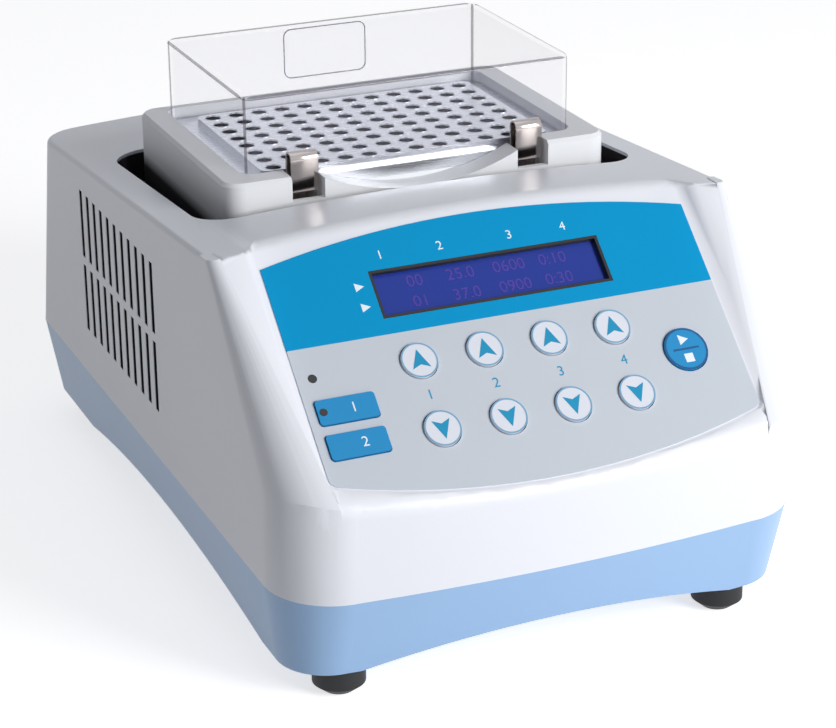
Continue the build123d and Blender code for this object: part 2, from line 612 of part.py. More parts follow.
with BuildPart() as base_shell:
    add(base_form(0))
    add(base_hollow, mode=Mode.SUBTRACT)
    add(floor_slab.part)
    # hollow bosses for the feet, and for the screws that reach up into the top housing
    with BuildSketch(Plane.XY.offset(BASE_BOTTOM_Z)):
        with Locations(*FOOT_PLACES):
            Circle(FOOT_R + FOOT_BOSS_WALL)
    extrude(amount=BASE_FLOOR_Z - BASE_BOTTOM_Z)
    with BuildSketch(Plane.XY.offset(BASE_FLOOR_Z)):
        with GridLocations(2 * CASE_BOSS_X, 2 * CASE_BOSS_Y, 2, 2):
            Circle(BOSS_R)
    extrude(amount=SEAM_Z - BASE_FLOOR_Z)
    with BuildSketch(Plane.XY.offset(BASE_BOTTOM_Z)):
        with Locations(*FOOT_PLACES):
            Circle(SCREW_R + SCREW_HOLE_GAP)
    extrude(amount=BASE_FLOOR_Z - BASE_BOTTOM_Z, mode=Mode.SUBTRACT)
    with BuildSketch(Plane.XY.offset(FLOOR_UNDERSIDE)):
        with GridLocations(2 * CASE_BOSS_X, 2 * CASE_BOSS_Y, 2, 2):
            Circle(SCREW_R + SCREW_HOLE_GAP)
    extrude(amount=SEAM_Z - FLOOR_UNDERSIDE, mode=Mode.SUBTRACT)
    # arched lower edges, cut through the walls alone
    with BuildSketch(Plane.XZ):
        with BuildLine():
            ThreePointArc((-ARCH_HALF_FRONT, BASE_BOTTOM_Z), (0, BASE_BOTTOM_Z + ARCH_RISE_FRONT),
                          (ARCH_HALF_FRONT, BASE_BOTTOM_Z))
            Polyline((ARCH_HALF_FRONT, BASE_BOTTOM_Z), (ARCH_HALF_FRONT, BASE_BOTTOM_Z - 1),
                     (-ARCH_HALF_FRONT, BASE_BOTTOM_Z - 1), (-ARCH_HALF_FRONT, BASE_BOTTOM_Z))
        make_face()
    front_arch = extrude(amount=HALF_DEPTH, both=True, mode=Mode.PRIVATE)
    with BuildSketch(Plane.YZ):
        with BuildLine():
            arch_front = FOOT_Y_FRONT + ARCH_SIDE_FRONT_REACH
            arch_rear = FOOT_Y_REAR - ARCH_SIDE_REAR_REACH
            arch_middle = (arch_front + arch_rear) / 2
            ThreePointArc((arch_front, BASE_BOTTOM_Z), (arch_middle, BASE_BOTTOM_Z + ARCH_RISE_SIDE),
                          (arch_rear, BASE_BOTTOM_Z))
            Polyline((arch_rear, BASE_BOTTOM_Z), (arch_rear, BASE_BOTTOM_Z - 1),
                     (arch_front, BASE_BOTTOM_Z - 1),
                     (arch_front, BASE_BOTTOM_Z))
        make_face()
    side_arch = extrude(amount=HALF_WIDTH, both=True, mode=Mode.PRIVATE)
    add(front_arch, mode=Mode.SUBTRACT)
    add(side_arch, mode=Mode.SUBTRACT)
save(base_shell, "base_shell")

# ================================================================ feet and case fasteners
with BuildPart() as feet:
    for x, y in FOOT_PLACES:
        with BuildSketch(Plane(origin=(x, y, 0), x_dir=(1, 0, 0), z_dir=(0, -1, 0))):
            with BuildLine():
                Polyline((SCREW_HEAD_R + SCREW_HOLE_GAP, 0), (FOOT_TIP_R, 0))
                Polyline((FOOT_TIP_R, 0), (FOOT_R, FOOT_BEVEL), (FOOT_R, BASE_BOTTOM_Z),
                         (SCREW_R + SCREW_HOLE_GAP, BASE_BOTTOM_Z),
                         (SCREW_R + SCREW_HOLE_GAP, FOOT_SEAT), (SCREW_HEAD_R + SCREW_HOLE_GAP, FOOT_SEAT),
                         (SCREW_HEAD_R + SCREW_HOLE_GAP, 0))
            make_face()
        revolve(axis=Axis((x, y, 0), (0, 0, 1)))
save(feet, "feet")

with BuildPart() as foot_screws:
    with BuildSketch(Plane.XY.offset(FOOT_SEAT - SCREW_HEAD)):
        with Locations(*FOOT_PLACES):
            RegularPolygon(SCREW_HEAD_R, 6)
    extrude(amount=SCREW_HEAD)
    with BuildSketch(Plane.XY.offset(FOOT_SEAT)):
        with Locations(*FOOT_PLACES):
            Circle(SCREW_R)
    extrude(amount=BASE_FLOOR_Z - FOOT_SEAT)
save(foot_screws, "foot_screws")

with BuildPart() as case_screws:
    with BuildSketch(Plane.XY.offset(FLOOR_UNDERSIDE - SCREW_HEAD)):
        with GridLocations(2 * CASE_BOSS_X, 2 * CASE_BOSS_Y, 2, 2):
            RegularPolygon(SCREW_HEAD_R, 6)
    extrude(amount=SCREW_HEAD)
    with BuildSketch(Plane.XY.offset(FLOOR_UNDERSIDE)):
        with GridLocations(2 * CASE_BOSS_X, 2 * CASE_BOSS_Y, 2, 2):
            Circle(SCREW_R)
    extrude(amount=SEAM_Z + CASE_BOSS_HEIGHT / 2 - FLOOR_UNDERSIDE)
save(case_screws, "case_screws")

# ================================================================ panel overlay, display and keys
with BuildPart() as panel_overlay:
    extrude(panel_outline(RECESS_HALF_WIDTH - LABEL_GAP, LABEL_SIDE_TOP, LABEL_TOP, RECESS_SIDE_END,
                          RECESS_BOTTOM + LABEL_GAP, RECESS_CORNER_R - LABEL_GAP), amount=LABEL_THICK)
    with BuildSketch(PANEL):
        with Locations((0, (LCD_BOTTOM + LCD_TOP) / 2)):
            Rectangle(2 * LCD_HALF_WIDTH, LCD_TOP - LCD_BOTTOM)
        key_shapes(KEY_GAP)
        with Locations((LAMP_X, LAMP_S)):
            Circle(LAMP_R + SCREW_HOLE_GAP)
    extrude(amount=LABEL_THICK, mode=Mode.SUBTRACT)
save(panel_overlay, "panel_overlay")

lcd_middle = (LCD_BOTTOM + LCD_TOP) / 2
lcd_height = LCD_TOP - LCD_BOTTOM
window_back = -LCD_SINK - LCD_GLASS
with BuildPart() as display_window:
    with BuildSketch(PANEL.offset(window_back)):
        with Locations((0, lcd_middle)):
            Rectangle(2 * (LCD_HALF_WIDTH - FIT_GAP), lcd_height - 2 * FIT_GAP)
    extrude(amount=LCD_GLASS)
save(display_window, "display_window")

with BuildPart() as display_module:
    with BuildSketch(PANEL.offset(PANEL_BACK - LCD_MODULE)):
        with Locations((0, lcd_middle)):
            Rectangle(2 * (LCD_HALF_WIDTH + LCD_MARGIN), lcd_height + 2 * LCD_MARGIN)
    extrude(amount=LCD_MODULE)
    with BuildSketch(PANEL.offset(PANEL_BACK)):
        with Locations((0, lcd_middle)):
            Rectangle(2 * (LCD_HALF_WIDTH - FIT_GAP), lcd_height - 2 * FIT_GAP)
    extrude(amount=window_back - PANEL_BACK)
save(display_module, "display_module")

board_low = BOARD_POST_LOW - STANDOFF_R
board_high = BOARD_POST_HIGH + STANDOFF_R
with BuildPart() as display_board:
    with BuildSketch(PANEL.offset(BOARD_TOP - BOARD_THICK)):
        with Locations((0, (board_low + board_high) / 2)):
            Rectangle(2 * (BOARD_POST_X + STANDOFF_R), board_high - board_low)
    extrude(amount=BOARD_THICK)
save(display_board, "display_board")

for key_name, key_x, key_s, key_radius in key_layout():
    key_width = 2 * key_radius or MODE_LENGTH
    key_height = 2 * key_radius or MODE_HEIGHT
    with BuildPart() as key:
        with BuildSketch(PANEL.offset(PANEL_BACK - KEY_GAP)):
            with Locations((key_x, key_s)):
                if key_radius:
                    Circle(key_radius)
                else:
                    RectangleRounded(MODE_LENGTH, MODE_HEIGHT, MODE_CORNER_R)
        extrude(amount=KEY_GAP - PANEL_BACK + LABEL_THICK + KEY_PROUD)
        with BuildSketch(PANEL.offset(PANEL_BACK - KEY_GAP - KEY_FLANGE_THICK)):
            with Locations((key_x, key_s)):
                Rectangle(key_width + 2 * KEY_FLANGE, key_height + 2 * KEY_FLANGE)
        extrude(amount=KEY_FLANGE_THICK)
    save(key, key_name)

with BuildPart() as status_lamp:
    with BuildSketch(PANEL.offset(BOARD_TOP)):
        with Locations((LAMP_X, LAMP_S)):
            Circle(LAMP_R)
    extrude(amount=-BOARD_TOP + LABEL_THICK)
save(status_lamp, "status_lamp")

# ================================================================ chassis, deck and motor
with BuildPart() as chassis_plate:
    with BuildSketch(Plane.XY.offset(BASE_FLOOR_Z)):
        with Locations((0, (CHASSIS_FRONT_Y + CHASSIS_REAR_Y) / 2)):
            RectangleRounded(2 * CHASSIS_HALF_WIDTH, CHASSIS_REAR_Y - CHASSIS_FRONT_Y, DECK_CORNER_R)
    extrude(amount=CHASSIS_THICK)
save(chassis_plate, "chassis_plate")

with BuildPart() as deck_pillars:
    with BuildSketch(Plane.XY.offset(CHASSIS_TOP)):
        with Locations((0, CARRIAGE_Y)):
            with GridLocations(2 * PILLAR_X, 2 * PILLAR_Y, 2, 2):
                RegularPolygon(PILLAR_R, 6)
    extrude(amount=DECK_Z - CHASSIS_TOP)
save(deck_pillars, "deck_pillars")

CRANK_PLACES = [(MOTOR_X + sx * CRANK_X, CARRIAGE_Y + sy * CRANK_Y) for sx in (-1, 1) for sy in (-1, 1)]
with BuildPart() as deck_plate:
    extrude(plate_outline(2 * DECK_HALF_WIDTH, 2 * DECK_HALF_DEPTH, DECK_CORNER_R, CARRIAGE_Y)
            .moved(Location((0, 0, DECK_Z))), amount=DECK_THICK)
    with BuildSketch(Plane.XY.offset(DECK_Z)):
        with Locations((MOTOR_X, CARRIAGE_Y)):
            Circle(BEARING_R + SEAT_GAP)
        with Locations(*CRANK_PLACES):
            Circle(CRANK_PIN_R + RUNNING_GAP)
    extrude(amount=DECK_THICK, mode=Mode.SUBTRACT)
save(deck_plate, "deck_plate")

with BuildPart() as main_bearing:
    with BuildSketch(Plane.XY.offset(DECK_Z)):
        with Locations((MOTOR_X, CARRIAGE_Y)):
            Circle(BEARING_R)
            Circle(SHAFT_R + RUNNING_GAP, mode=Mode.SUBTRACT)
    extrude(amount=DECK_THICK)
save(main_bearing, "main_bearing")

motor_low = DECK_Z - MOTOR_FLANGE_THICK - MOTOR_HEIGHT
shaft_low = DECK_Z - SHAFT_SINK
with BuildPart() as motor:
    with BuildSketch(Plane.XY.offset(DECK_Z - MOTOR_FLANGE_THICK)):
        with Locations((MOTOR_X, CARRIAGE_Y)):
            RectangleRounded(MOTOR_FLANGE, MOTOR_FLANGE, DECK_CORNER_R)
    extrude(amount=MOTOR_FLANGE_THICK)
    with BuildSketch(Plane.XY.offset(motor_low)):
        with Locations((MOTOR_X, CARRIAGE_Y)):
            Circle(MOTOR_R)
    extrude(amount=MOTOR_HEIGHT)
    with BuildSketch(Plane.XY.offset(shaft_low - 1)):
        with Locations((MOTOR_X, CARRIAGE_Y)):
            Circle(SHAFT_R + RUNNING_GAP)
    extrude(amount=SHAFT_SINK + 1, mode=Mode.SUBTRACT)
save(motor, "motor")

with BuildPart() as eccentric_shaft:
    with BuildSketch(Plane.XY.offset(shaft_low)):
        with Locations((MOTOR_X, CARRIAGE_Y)):
            Circle(SHAFT_R)
    extrude(amount=WEIGHT_Z - shaft_low)
    with BuildSketch(Plane.XY.offset(WEIGHT_Z)):
        with Locations((MOTOR_X, CARRIAGE_Y)):
            Circle(HUB_R)
    extrude(amount=WEIGHT_THICK)
    with BuildSketch(Plane.XY.offset(PIN_Z)):
        with Locations((MOTOR_X + ORBIT_R, CARRIAGE_Y)):
            Circle(PIN_R)
    extrude(amount=PLATE_TOP - PIN_Z)
save(eccentric_shaft, "eccentric_shaft")

# the counterweight is a half disc clamped round the hub, opposite the eccentric pin
with BuildPart() as counterweight:
    with BuildSketch(Plane.XY.offset(WEIGHT_Z)):
        with Locations((MOTOR_X, CARRIAGE_Y)):
            Circle(WEIGHT_R)
            Circle(HUB_R + SEAT_GAP, mode=Mode.SUBTRACT)
        with Locations((MOTOR_X + HUB_R + WEIGHT_R, CARRIAGE_Y)):
            Rectangle(2 * WEIGHT_R, 2 * WEIGHT_R, mode=Mode.SUBTRACT)
    extrude(amount=WEIGHT_THICK)
save(counterweight, "counterweight")

# ================================================================ orbiting drive
with BuildPart() as drive_plate:
    extrude(plate_outline(2 * PLATE_HALF_WIDTH, 2 * PLATE_HALF_DEPTH, DECK_CORNER_R, CARRIAGE_Y)
            .moved(Location((0, 0, PLATE_Z))), amount=PLATE_THICK)
    with BuildSketch(Plane.XY.offset(PLATE_Z)):
        with Locations((0, CARRIAGE_Y)):
            Circle(PIN_BEARING_R + SEAT_GAP)
        with Locations(*[(x + ORBIT_R, y) for x, y in CRANK_PLACES]):
            Circle(CRANK_PIN_R + CRANK_OPEN_GAP)
    extrude(amount=PLATE_THICK, mode=Mode.SUBTRACT)
save(drive_plate, "drive_plate")

with BuildPart() as drive_bearing:
    with BuildSketch(Plane.XY.offset(PLATE_Z)):
        with Locations((0, CARRIAGE_Y)):
            Circle(PIN_BEARING_R)
            Circle(PIN_R + RUNNING_GAP, mode=Mode.SUBTRACT)
    extrude(amount=PLATE_THICK)
save(drive_bearing, "drive_bearing")

for crank_number, (crank_x, crank_y) in enumerate(CRANK_PLACES, start=1):
    with BuildPart() as crank:
        with BuildSketch(Plane.XY.offset(DECK_Z)):
            with Locations((crank_x, crank_y)):
                Circle(CRANK_PIN_R)
        extrude(amount=WEIGHT_Z - DECK_Z)
        with BuildSketch(Plane.XY.offset(WEIGHT_Z)):
            with Locations((crank_x + ORBIT_R / 2, crank_y)):
                RegularPolygon(CRANK_R, 6)
        extrude(amount=CRANK_DISC)
        with BuildSketch(Plane.XY.offset(WEIGHT_Z + CRANK_DISC)):
            with Locations((crank_x + ORBIT_R, crank_y)):
                RegularPolygon(CRANK_SHOULDER_R, 6)
        extrude(amount=PLATE_Z - FIT_GAP - WEIGHT_Z - CRANK_DISC)
        with BuildSketch(Plane.XY.offset(PLATE_Z - FIT_GAP)):
            with Locations((crank_x + ORBIT_R, crank_y)):
                Circle(CRANK_PIN_R)
        extrude(amount=PLATE_THICK + FIT_GAP)
    save(crank, f"idler_crank_{crank_number}")

with BuildPart() as carriage_spacers:
    with BuildSketch(Plane.XY.offset(PLATE_TOP)):
        with Locations((0, CARRIAGE_Y)):
            with GridLocations(2 * SPACER_X, 2 * SPACER_Y, 2, 2):
                Circle(SPACER_R)
    extrude(amount=CARRIAGE_BOTTOM - PLATE_TOP)
save(carriage_spacers, "carriage_spacers")

# ================================================================ carriage
COVER_POCKET_WIDTH = COVER_WIDTH + 2 * COVER_FIT
COVER_POCKET_DEPTH = COVER_DEPTH + 2 * COVER_FIT
BLOCK_TOP = CARRIAGE_TOP - BLOCK_TOP_DROP
COVER_SEAT = BLOCK_TOP - FIELD_HEIGHT           # top of the block's flange, which the cover stands on
FLANGE_LOW = COVER_SEAT - BLOCK_FLANGE
FLOOR_TOP = CARRIAGE_BOTTOM + CARRIAGE_FLOOR
HEATER_Z = FLOOR_TOP + INSULATION_THICK
BLOCK_Z = HEATER_Z + HEATER_THICK
FLANGE_WIDTH = COVER_POCKET_WIDTH - 2 * BLOCK_FIT
FLANGE_DEPTH = COVER_POCKET_DEPTH - 2 * BLOCK_FIT
FRONT_LEDGE = COVER_WALL
BODY_WIDTH = FLANGE_WIDTH - 2 * BODY_INSET
POCKET_LOW_WIDTH = COVER_POCKET_WIDTH - 2 * LEDGE_WIDTH
POCKET_LOW_DEPTH = COVER_POCKET_DEPTH - 2 * FRONT_LEDGE
BODY_DEPTH = POCKET_LOW_DEPTH - 2 * COVER_FIT - FRONT_LEDGE
SCOOP_R = (SCOOP_CHORD ** 2 / 4 + SCOOP_DEPTH ** 2) / (2 * SCOOP_DEPTH)
POCKET_FRONT_Y = COVER_Y - COVER_POCKET_DEPTH / 2
CLIP_SLOT_Y = POCKET_FRONT_Y - CLIP_SLOT_DEPTH / 2

with BuildPart() as carriage_shell:
    extrude(plate_outline(CARRIAGE_WIDTH, CARRIAGE_DEPTH, CARRIAGE_CORNER_R, CARRIAGE_Y)
            .moved(Location((0, 0, CARRIAGE_BOTTOM))), amount=CARRIAGE_HEIGHT)
    chamfer(carriage_shell.faces().sort_by(Axis.Z)[-1].edges(), length=CARRIAGE_EDGE)
    extrude(plate_outline(COVER_POCKET_WIDTH, COVER_POCKET_DEPTH, COVER_CORNER_R + COVER_FIT, COVER_Y)
            .moved(Location((0, 0, FLANGE_LOW))), amount=CARRIAGE_HEIGHT, mode=Mode.SUBTRACT)
    extrude(plate_outline(POCKET_LOW_WIDTH, POCKET_LOW_DEPTH, COVER_CORNER_R, COVER_Y)
            .moved(Location((0, 0, FLOOR_TOP))), amount=CARRIAGE_HEIGHT, mode=Mode.SUBTRACT)
    # finger scoop in the front rim
    with BuildSketch(Plane.XZ.offset(-CARRIAGE_FRONT_Y + CUT_OVER)):
        with Locations((0, CARRIAGE_TOP - SCOOP_DEPTH + SCOOP_R)):
            Circle(SCOOP_R)
    extrude(amount=-(POCKET_FRONT_Y - CARRIAGE_FRONT_Y + CUT_OVER + 1), mode=Mode.SUBTRACT)
    # slots for the spring clips, open to the front above the notch
    with BuildSketch(Plane.XY.offset(CLIP_FOOT_Z)):
        with Locations((-CLIP_X, CLIP_SLOT_Y), (CLIP_X, CLIP_SLOT_Y)):
            Rectangle(CLIP_WIDTH + 2 * CLIP_SLOT_SIDE, CLIP_SLOT_DEPTH)
    extrude(amount=CARRIAGE_HEIGHT, mode=Mode.SUBTRACT)
    with BuildSketch(Plane.XY.offset(CLIP_NOTCH_Z)):
        with Locations((-CLIP_X, CARRIAGE_FRONT_Y), (CLIP_X, CARRIAGE_FRONT_Y)):
            Rectangle(CLIP_WIDTH + 2 * CLIP_SLOT_SIDE, CLIP_SLOT_DEPTH * 2)
    extrude(amount=CARRIAGE_HEIGHT, mode=Mode.SUBTRACT)
save(carriage_shell, "carriage_shell")

pad_width = POCKET_LOW_WIDTH - 2 * COVER_FIT
pad_depth = POCKET_LOW_DEPTH - 2 * COVER_FIT
with BuildPart() as insulation_pad:
    extrude(plate_outline(pad_width, pad_depth, COVER_CORNER_R, COVER_Y)
            .moved(Location((0, 0, FLOOR_TOP))), amount=INSULATION_THICK)
save(insulation_pad, "insulation_pad")

with BuildPart() as heater_plate:
    extrude(plate_outline(BODY_WIDTH, BODY_DEPTH, COVER_CORNER_R, COVER_Y)
            .moved(Location((0, 0, HEATER_Z))), amount=HEATER_THICK)
save(heater_plate, "heater_plate")

# ================================================================ heating block
body_rear_y = COVER_Y + BODY_DEPTH / 2
with BuildPart() as heating_block:
    extrude(plate_outline(BODY_WIDTH, BODY_DEPTH, COVER_CORNER_R, COVER_Y)
            .moved(Location((0, 0, BLOCK_Z))), amount=FLANGE_LOW - BLOCK_Z)
    extrude(plate_outline(FLANGE_WIDTH, FLANGE_DEPTH, COVER_CORNER_R, COVER_Y)
            .moved(Location((0, 0, FLANGE_LOW))), amount=BLOCK_FLANGE)
    with BuildSketch(Plane.XY.offset(COVER_SEAT)):
        with Locations((0, (FIELD_FRONT + FIELD_REAR) / 2)):
            RectangleRounded(2 * FIELD_HALF_X, FIELD_REAR - FIELD_FRONT, WELL_R)
    extrude(amount=FIELD_HEIGHT)
    with BuildSketch(Plane.XY.offset(BLOCK_TOP)):
        with Locations((0, WELL_Y)):
            with GridLocations(WELL_PITCH, WELL_PITCH, WELL_COLUMNS, WELL_ROWS):
                RegularPolygon(WELL_R, WELL_SIDES)
    extrude(amount=-WELL_DEPTH, mode=Mode.SUBTRACT)
    with BuildSketch(Plane.XZ.offset(-body_rear_y)):
        with Locations((0, SENSOR_Z)):
            Circle(SENSOR_R + RUNNING_GAP)
    extrude(amount=SENSOR_LENGTH - 2, mode=Mode.SUBTRACT)
save(heating_block, "heating_block")

with BuildPart() as temperature_sensor:
    with BuildSketch(Plane.XZ.offset(-(body_rear_y + 1))):
        with Locations((0, SENSOR_Z)):
            Circle(SENSOR_R)
    extrude(amount=SENSOR_LENGTH - 2)
save(temperature_sensor, "temperature_sensor")

# ================================================================ clear cover
cover_height = COVER_TOP - COVER_SEAT
with BuildPart() as clear_cover:
    extrude(plate_outline(COVER_WIDTH, COVER_DEPTH, COVER_CORNER_R, COVER_Y)
            .moved(Location((0, 0, COVER_SEAT))), amount=cover_height)
    chamfer(clear_cover.faces().sort_by(Axis.Z)[-1].edges(), length=COVER_EDGE)
    cover_hollow = plate_outline(COVER_WIDTH - 2 * COVER_WALL, COVER_DEPTH - 2 * COVER_WALL,
                                 COVER_CORNER_R - COVER_WALL, COVER_Y)
    extrude(cover_hollow.moved(Location((0, 0, COVER_SEAT))), amount=cover_height - COVER_WALL,
            mode=Mode.SUBTRACT)
    # raised pad on the inside of the back wall
    pad_y = COVER_Y + COVER_DEPTH / 2 - COVER_WALL
    with BuildSketch(Plane.XZ.offset(-pad_y)):
        with Locations((0, COVER_TOP - COVER_WALL - PAD_HEIGHT / 2)):
            RectangleRounded(PAD_WIDTH, PAD_HEIGHT, PAD_CORNER_R)
    extrude(amount=PAD_THICK)
save(clear_cover, "clear_cover")

# ================================================================ spring clips
clip_back = COVER_Y - COVER_DEPTH / 2 - CLIP_GAP - COVER_FIT
clip_bend_z = CLIP_TOP_Z - CLIP_BEND_R
clip_front = clip_back - 2 * CLIP_BEND_R
for clip_name, clip_x in (("clip_left", -CLIP_X), ("clip_right", CLIP_X)):
    with BuildPart() as clip:
        with BuildSketch(Plane.YZ.offset(clip_x - CLIP_WIDTH / 2)):
            with BuildLine():
                inner_r = CLIP_BEND_R - CLIP_THICK
                bend_y = clip_back - CLIP_BEND_R
                Line((clip_back, CLIP_FOOT_Z), (clip_back, clip_bend_z))
                ThreePointArc((clip_back, clip_bend_z), (bend_y, CLIP_TOP_Z), (clip_front, clip_bend_z))
                Polyline((clip_front, clip_bend_z), (clip_front, CLIP_LIP_Z),
                         (clip_front + CLIP_THICK, CLIP_LIP_Z), (clip_front + CLIP_THICK, clip_bend_z))
                ThreePointArc((clip_front + CLIP_THICK, clip_bend_z), (bend_y, clip_bend_z + inner_r),
                              (clip_back - CLIP_THICK, clip_bend_z))
                Polyline((clip_back - CLIP_THICK, clip_bend_z), (clip_back - CLIP_THICK, CLIP_FOOT_Z),
                         (clip_back, CLIP_FOOT_Z))
            make_face()
        extrude(amount=CLIP_WIDTH)
    save(clip, clip_name)

# ================================================================ fan behind the right-hand vents
fan_plane = Plane(origin=(INNER_X, FAN_Y, FAN_Z), x_dir=(0, 1, 0), z_dir=(-1, 0, 0))
with BuildPart() as fan_frame:
    with BuildSketch(fan_plane):
        RectangleRounded(FAN_SIZE, FAN_SIZE, DECK_CORNER_R / 2)
        Circle(FAN_DUCT_R, mode=Mode.SUBTRACT)
    extrude(amount=FAN_THICK)
    with BuildSketch(fan_plane.offset(FAN_THICK - FAN_ARM / 2)):
        Circle(FAN_HUB_R)
        Rectangle(2 * FAN_DUCT_R + 1, FAN_ARM)
        Rectangle(FAN_ARM, 2 * FAN_DUCT_R + 1)
        Circle(FAN_PIN_R, mode=Mode.SUBTRACT)
    extrude(amount=FAN_ARM / 2)
    with BuildSketch(fan_plane.offset(FAN_THICK - FAN_ARM - FAN_HUB_R / 2)):
        Circle(FAN_PIN_R)
    extrude(amount=FAN_ARM + FAN_HUB_R / 2)
save(fan_frame, "fan_frame")

blade_length = FAN_BLADE_R - FAN_HUB_R + 1
blade_middle = (FAN_BLADE_R + FAN_HUB_R - 1) / 2
rotor_thick = FAN_THICK - FAN_ARM
with BuildPart() as fan_rotor:
    with BuildSketch(fan_plane.offset(1)):
        Circle(FAN_HUB_R)
    extrude(amount=rotor_thick - 1)
    for blade in range(FAN_BLADES):
        turn = 360 / FAN_BLADES * blade
        place = fan_plane.offset((rotor_thick + 1) / 2).location * Location((0, 0, 0), (0, 0, turn))
        root = place * Location((blade_middle, 0, 0), (90 - FAN_BLADE_TWIST, 0, 0))
        with Locations(root):
            Box(blade_length, rotor_thick - 2 * FAN_BLADE_TIP, FAN_BLADE_THICK)
    with BuildSketch(fan_plane):
        Circle(FAN_PIN_R + RUNNING_GAP)
    extrude(amount=FAN_THICK, mode=Mode.SUBTRACT)
save(fan_rotor, "fan_rotor")

# ================================================================ mains inlet, fuse drawer and switch
back_plane = Plane(origin=(0, BACK_PANEL_Y, BACK_POCKET_Z), x_dir=(-1, 0, 0), z_dir=(0, 1, 0))
with BuildPart() as inlet_socket:
    with BuildSketch(back_plane):
        with Locations((-INLET_X, 0)):
            RectangleRounded(INLET_BEZEL_WIDTH, INLET_BEZEL_HEIGHT, INLET_CORNER_R)
    extrude(amount=INLET_BEZEL)
    with BuildSketch(back_plane):
        with Locations((-INLET_X, 0)):
            Rectangle(INLET_WIDTH - 2 * FIT_GAP, INLET_HEIGHT - 2 * FIT_GAP)
    extrude(amount=-INLET_DEPTH)
    with BuildSketch(back_plane.offset(INLET_BEZEL)):
        with Locations((-INLET_X, INLET_CAVITY_UP)):
            Rectangle(INLET_CAVITY_WIDTH, INLET_CAVITY_HEIGHT)
    extrude(amount=-INLET_CAVITY_DEPTH, mode=Mode.SUBTRACT)
    with BuildSketch(back_plane.offset(INLET_BEZEL)):
        with Locations((-INLET_X, -FUSE_DOWN)):
            Rectangle(FUSE_WIDTH + 2 * FIT_GAP, FUSE_HEIGHT + 2 * FIT_GAP)
    extrude(amount=-(FUSE_DEPTH + INLET_BEZEL + 1), mode=Mode.SUBTRACT)
save(inlet_socket, "inlet_socket")

blade_root = INLET_BEZEL - INLET_CAVITY_DEPTH
blade_places = [(-INLET_X - BLADE_SPREAD, INLET_CAVITY_UP - BLADE_DROP),
                (-INLET_X, INLET_CAVITY_UP + BLADE_RISE),
                (-INLET_X + BLADE_SPREAD, INLET_CAVITY_UP - BLADE_DROP)]
with BuildPart() as inlet_blades:
    with BuildSketch(back_plane.offset(blade_root)):
        with Locations(*blade_places):
            Rectangle(BLADE_WIDTH, BLADE_TALL)
    extrude(amount=INLET_CAVITY_DEPTH - INLET_BEZEL)
save(inlet_blades, "inlet_blades")

with BuildPart() as fuse_drawer:
    with BuildSketch(back_plane.offset(INLET_BEZEL + FUSE_PROUD)):
        with Locations((-INLET_X, -FUSE_DOWN)):
            Rectangle(FUSE_WIDTH, FUSE_HEIGHT)
    extrude(amount=-(FUSE_DEPTH + INLET_BEZEL))
save(fuse_drawer, "fuse_drawer")

rocker_width = SWITCH_WIDTH - 2 * FIT_GAP - 2 * SWITCH_WALL - 2 * ROCKER_GAP
rocker_height = SWITCH_HEIGHT - 2 * FIT_GAP - 2 * SWITCH_WALL - 2 * ROCKER_GAP
with BuildPart() as switch_frame:
    with BuildSketch(back_plane):
        with Locations((-SWITCH_X, 0)):
            RectangleRounded(SWITCH_WIDTH + 2 * SWITCH_WALL, SWITCH_HEIGHT + 2 * SWITCH_WALL, SWITCH_WALL)
    extrude(amount=SWITCH_BEZEL)
    with BuildSketch(back_plane):
        with Locations((-SWITCH_X, 0)):
            Rectangle(SWITCH_WIDTH - 2 * FIT_GAP, SWITCH_HEIGHT - 2 * FIT_GAP)
    extrude(amount=-SWITCH_DEPTH)
    with BuildSketch(back_plane.offset(SWITCH_BEZEL)):
        with Locations((-SWITCH_X, 0)):
            Rectangle(rocker_width + 2 * ROCKER_GAP, rocker_height + 2 * ROCKER_GAP)
    extrude(amount=-(SWITCH_DEPTH - SWITCH_WALL), mode=Mode.SUBTRACT)
save(switch_frame, "switch_frame")

# the rocker turns on a pin across the frame, its two halves meeting at a shallow angle
rocker_depth = SWITCH_BEZEL + ROCKER_PROUD
with BuildPart() as rocker:
    with BuildSketch(Plane.YZ.offset(SWITCH_X - rocker_width / 2)):
        with BuildLine():
            high = BACK_POCKET_Z + rocker_height / 2
            low = BACK_POCKET_Z - rocker_height / 2
            face_end = BACK_PANEL_Y + rocker_depth
            face_mid = BACK_PANEL_Y + SWITCH_BEZEL
            back_y = BACK_PANEL_Y - ROCKER_BACK
            Polyline((face_end, high), (face_mid, BACK_POCKET_Z), (face_end, low), (back_y, low + ROCKER_TUCK),
                     (back_y, high - ROCKER_TUCK), (face_end, high))
        make_face()
    extrude(amount=rocker_width)
    with BuildSketch(Plane.YZ.offset(SWITCH_X - rocker_width / 2 - ROCKER_GAP + RUNNING_GAP)):
        with Locations((BACK_PANEL_Y - ROCKER_AXIS_IN, BACK_POCKET_Z)):
            Circle(ROCKER_PIN_R)
    extrude(amount=rocker_width + 2 * (ROCKER_GAP - RUNNING_GAP))
save(rocker, "power_rocker")

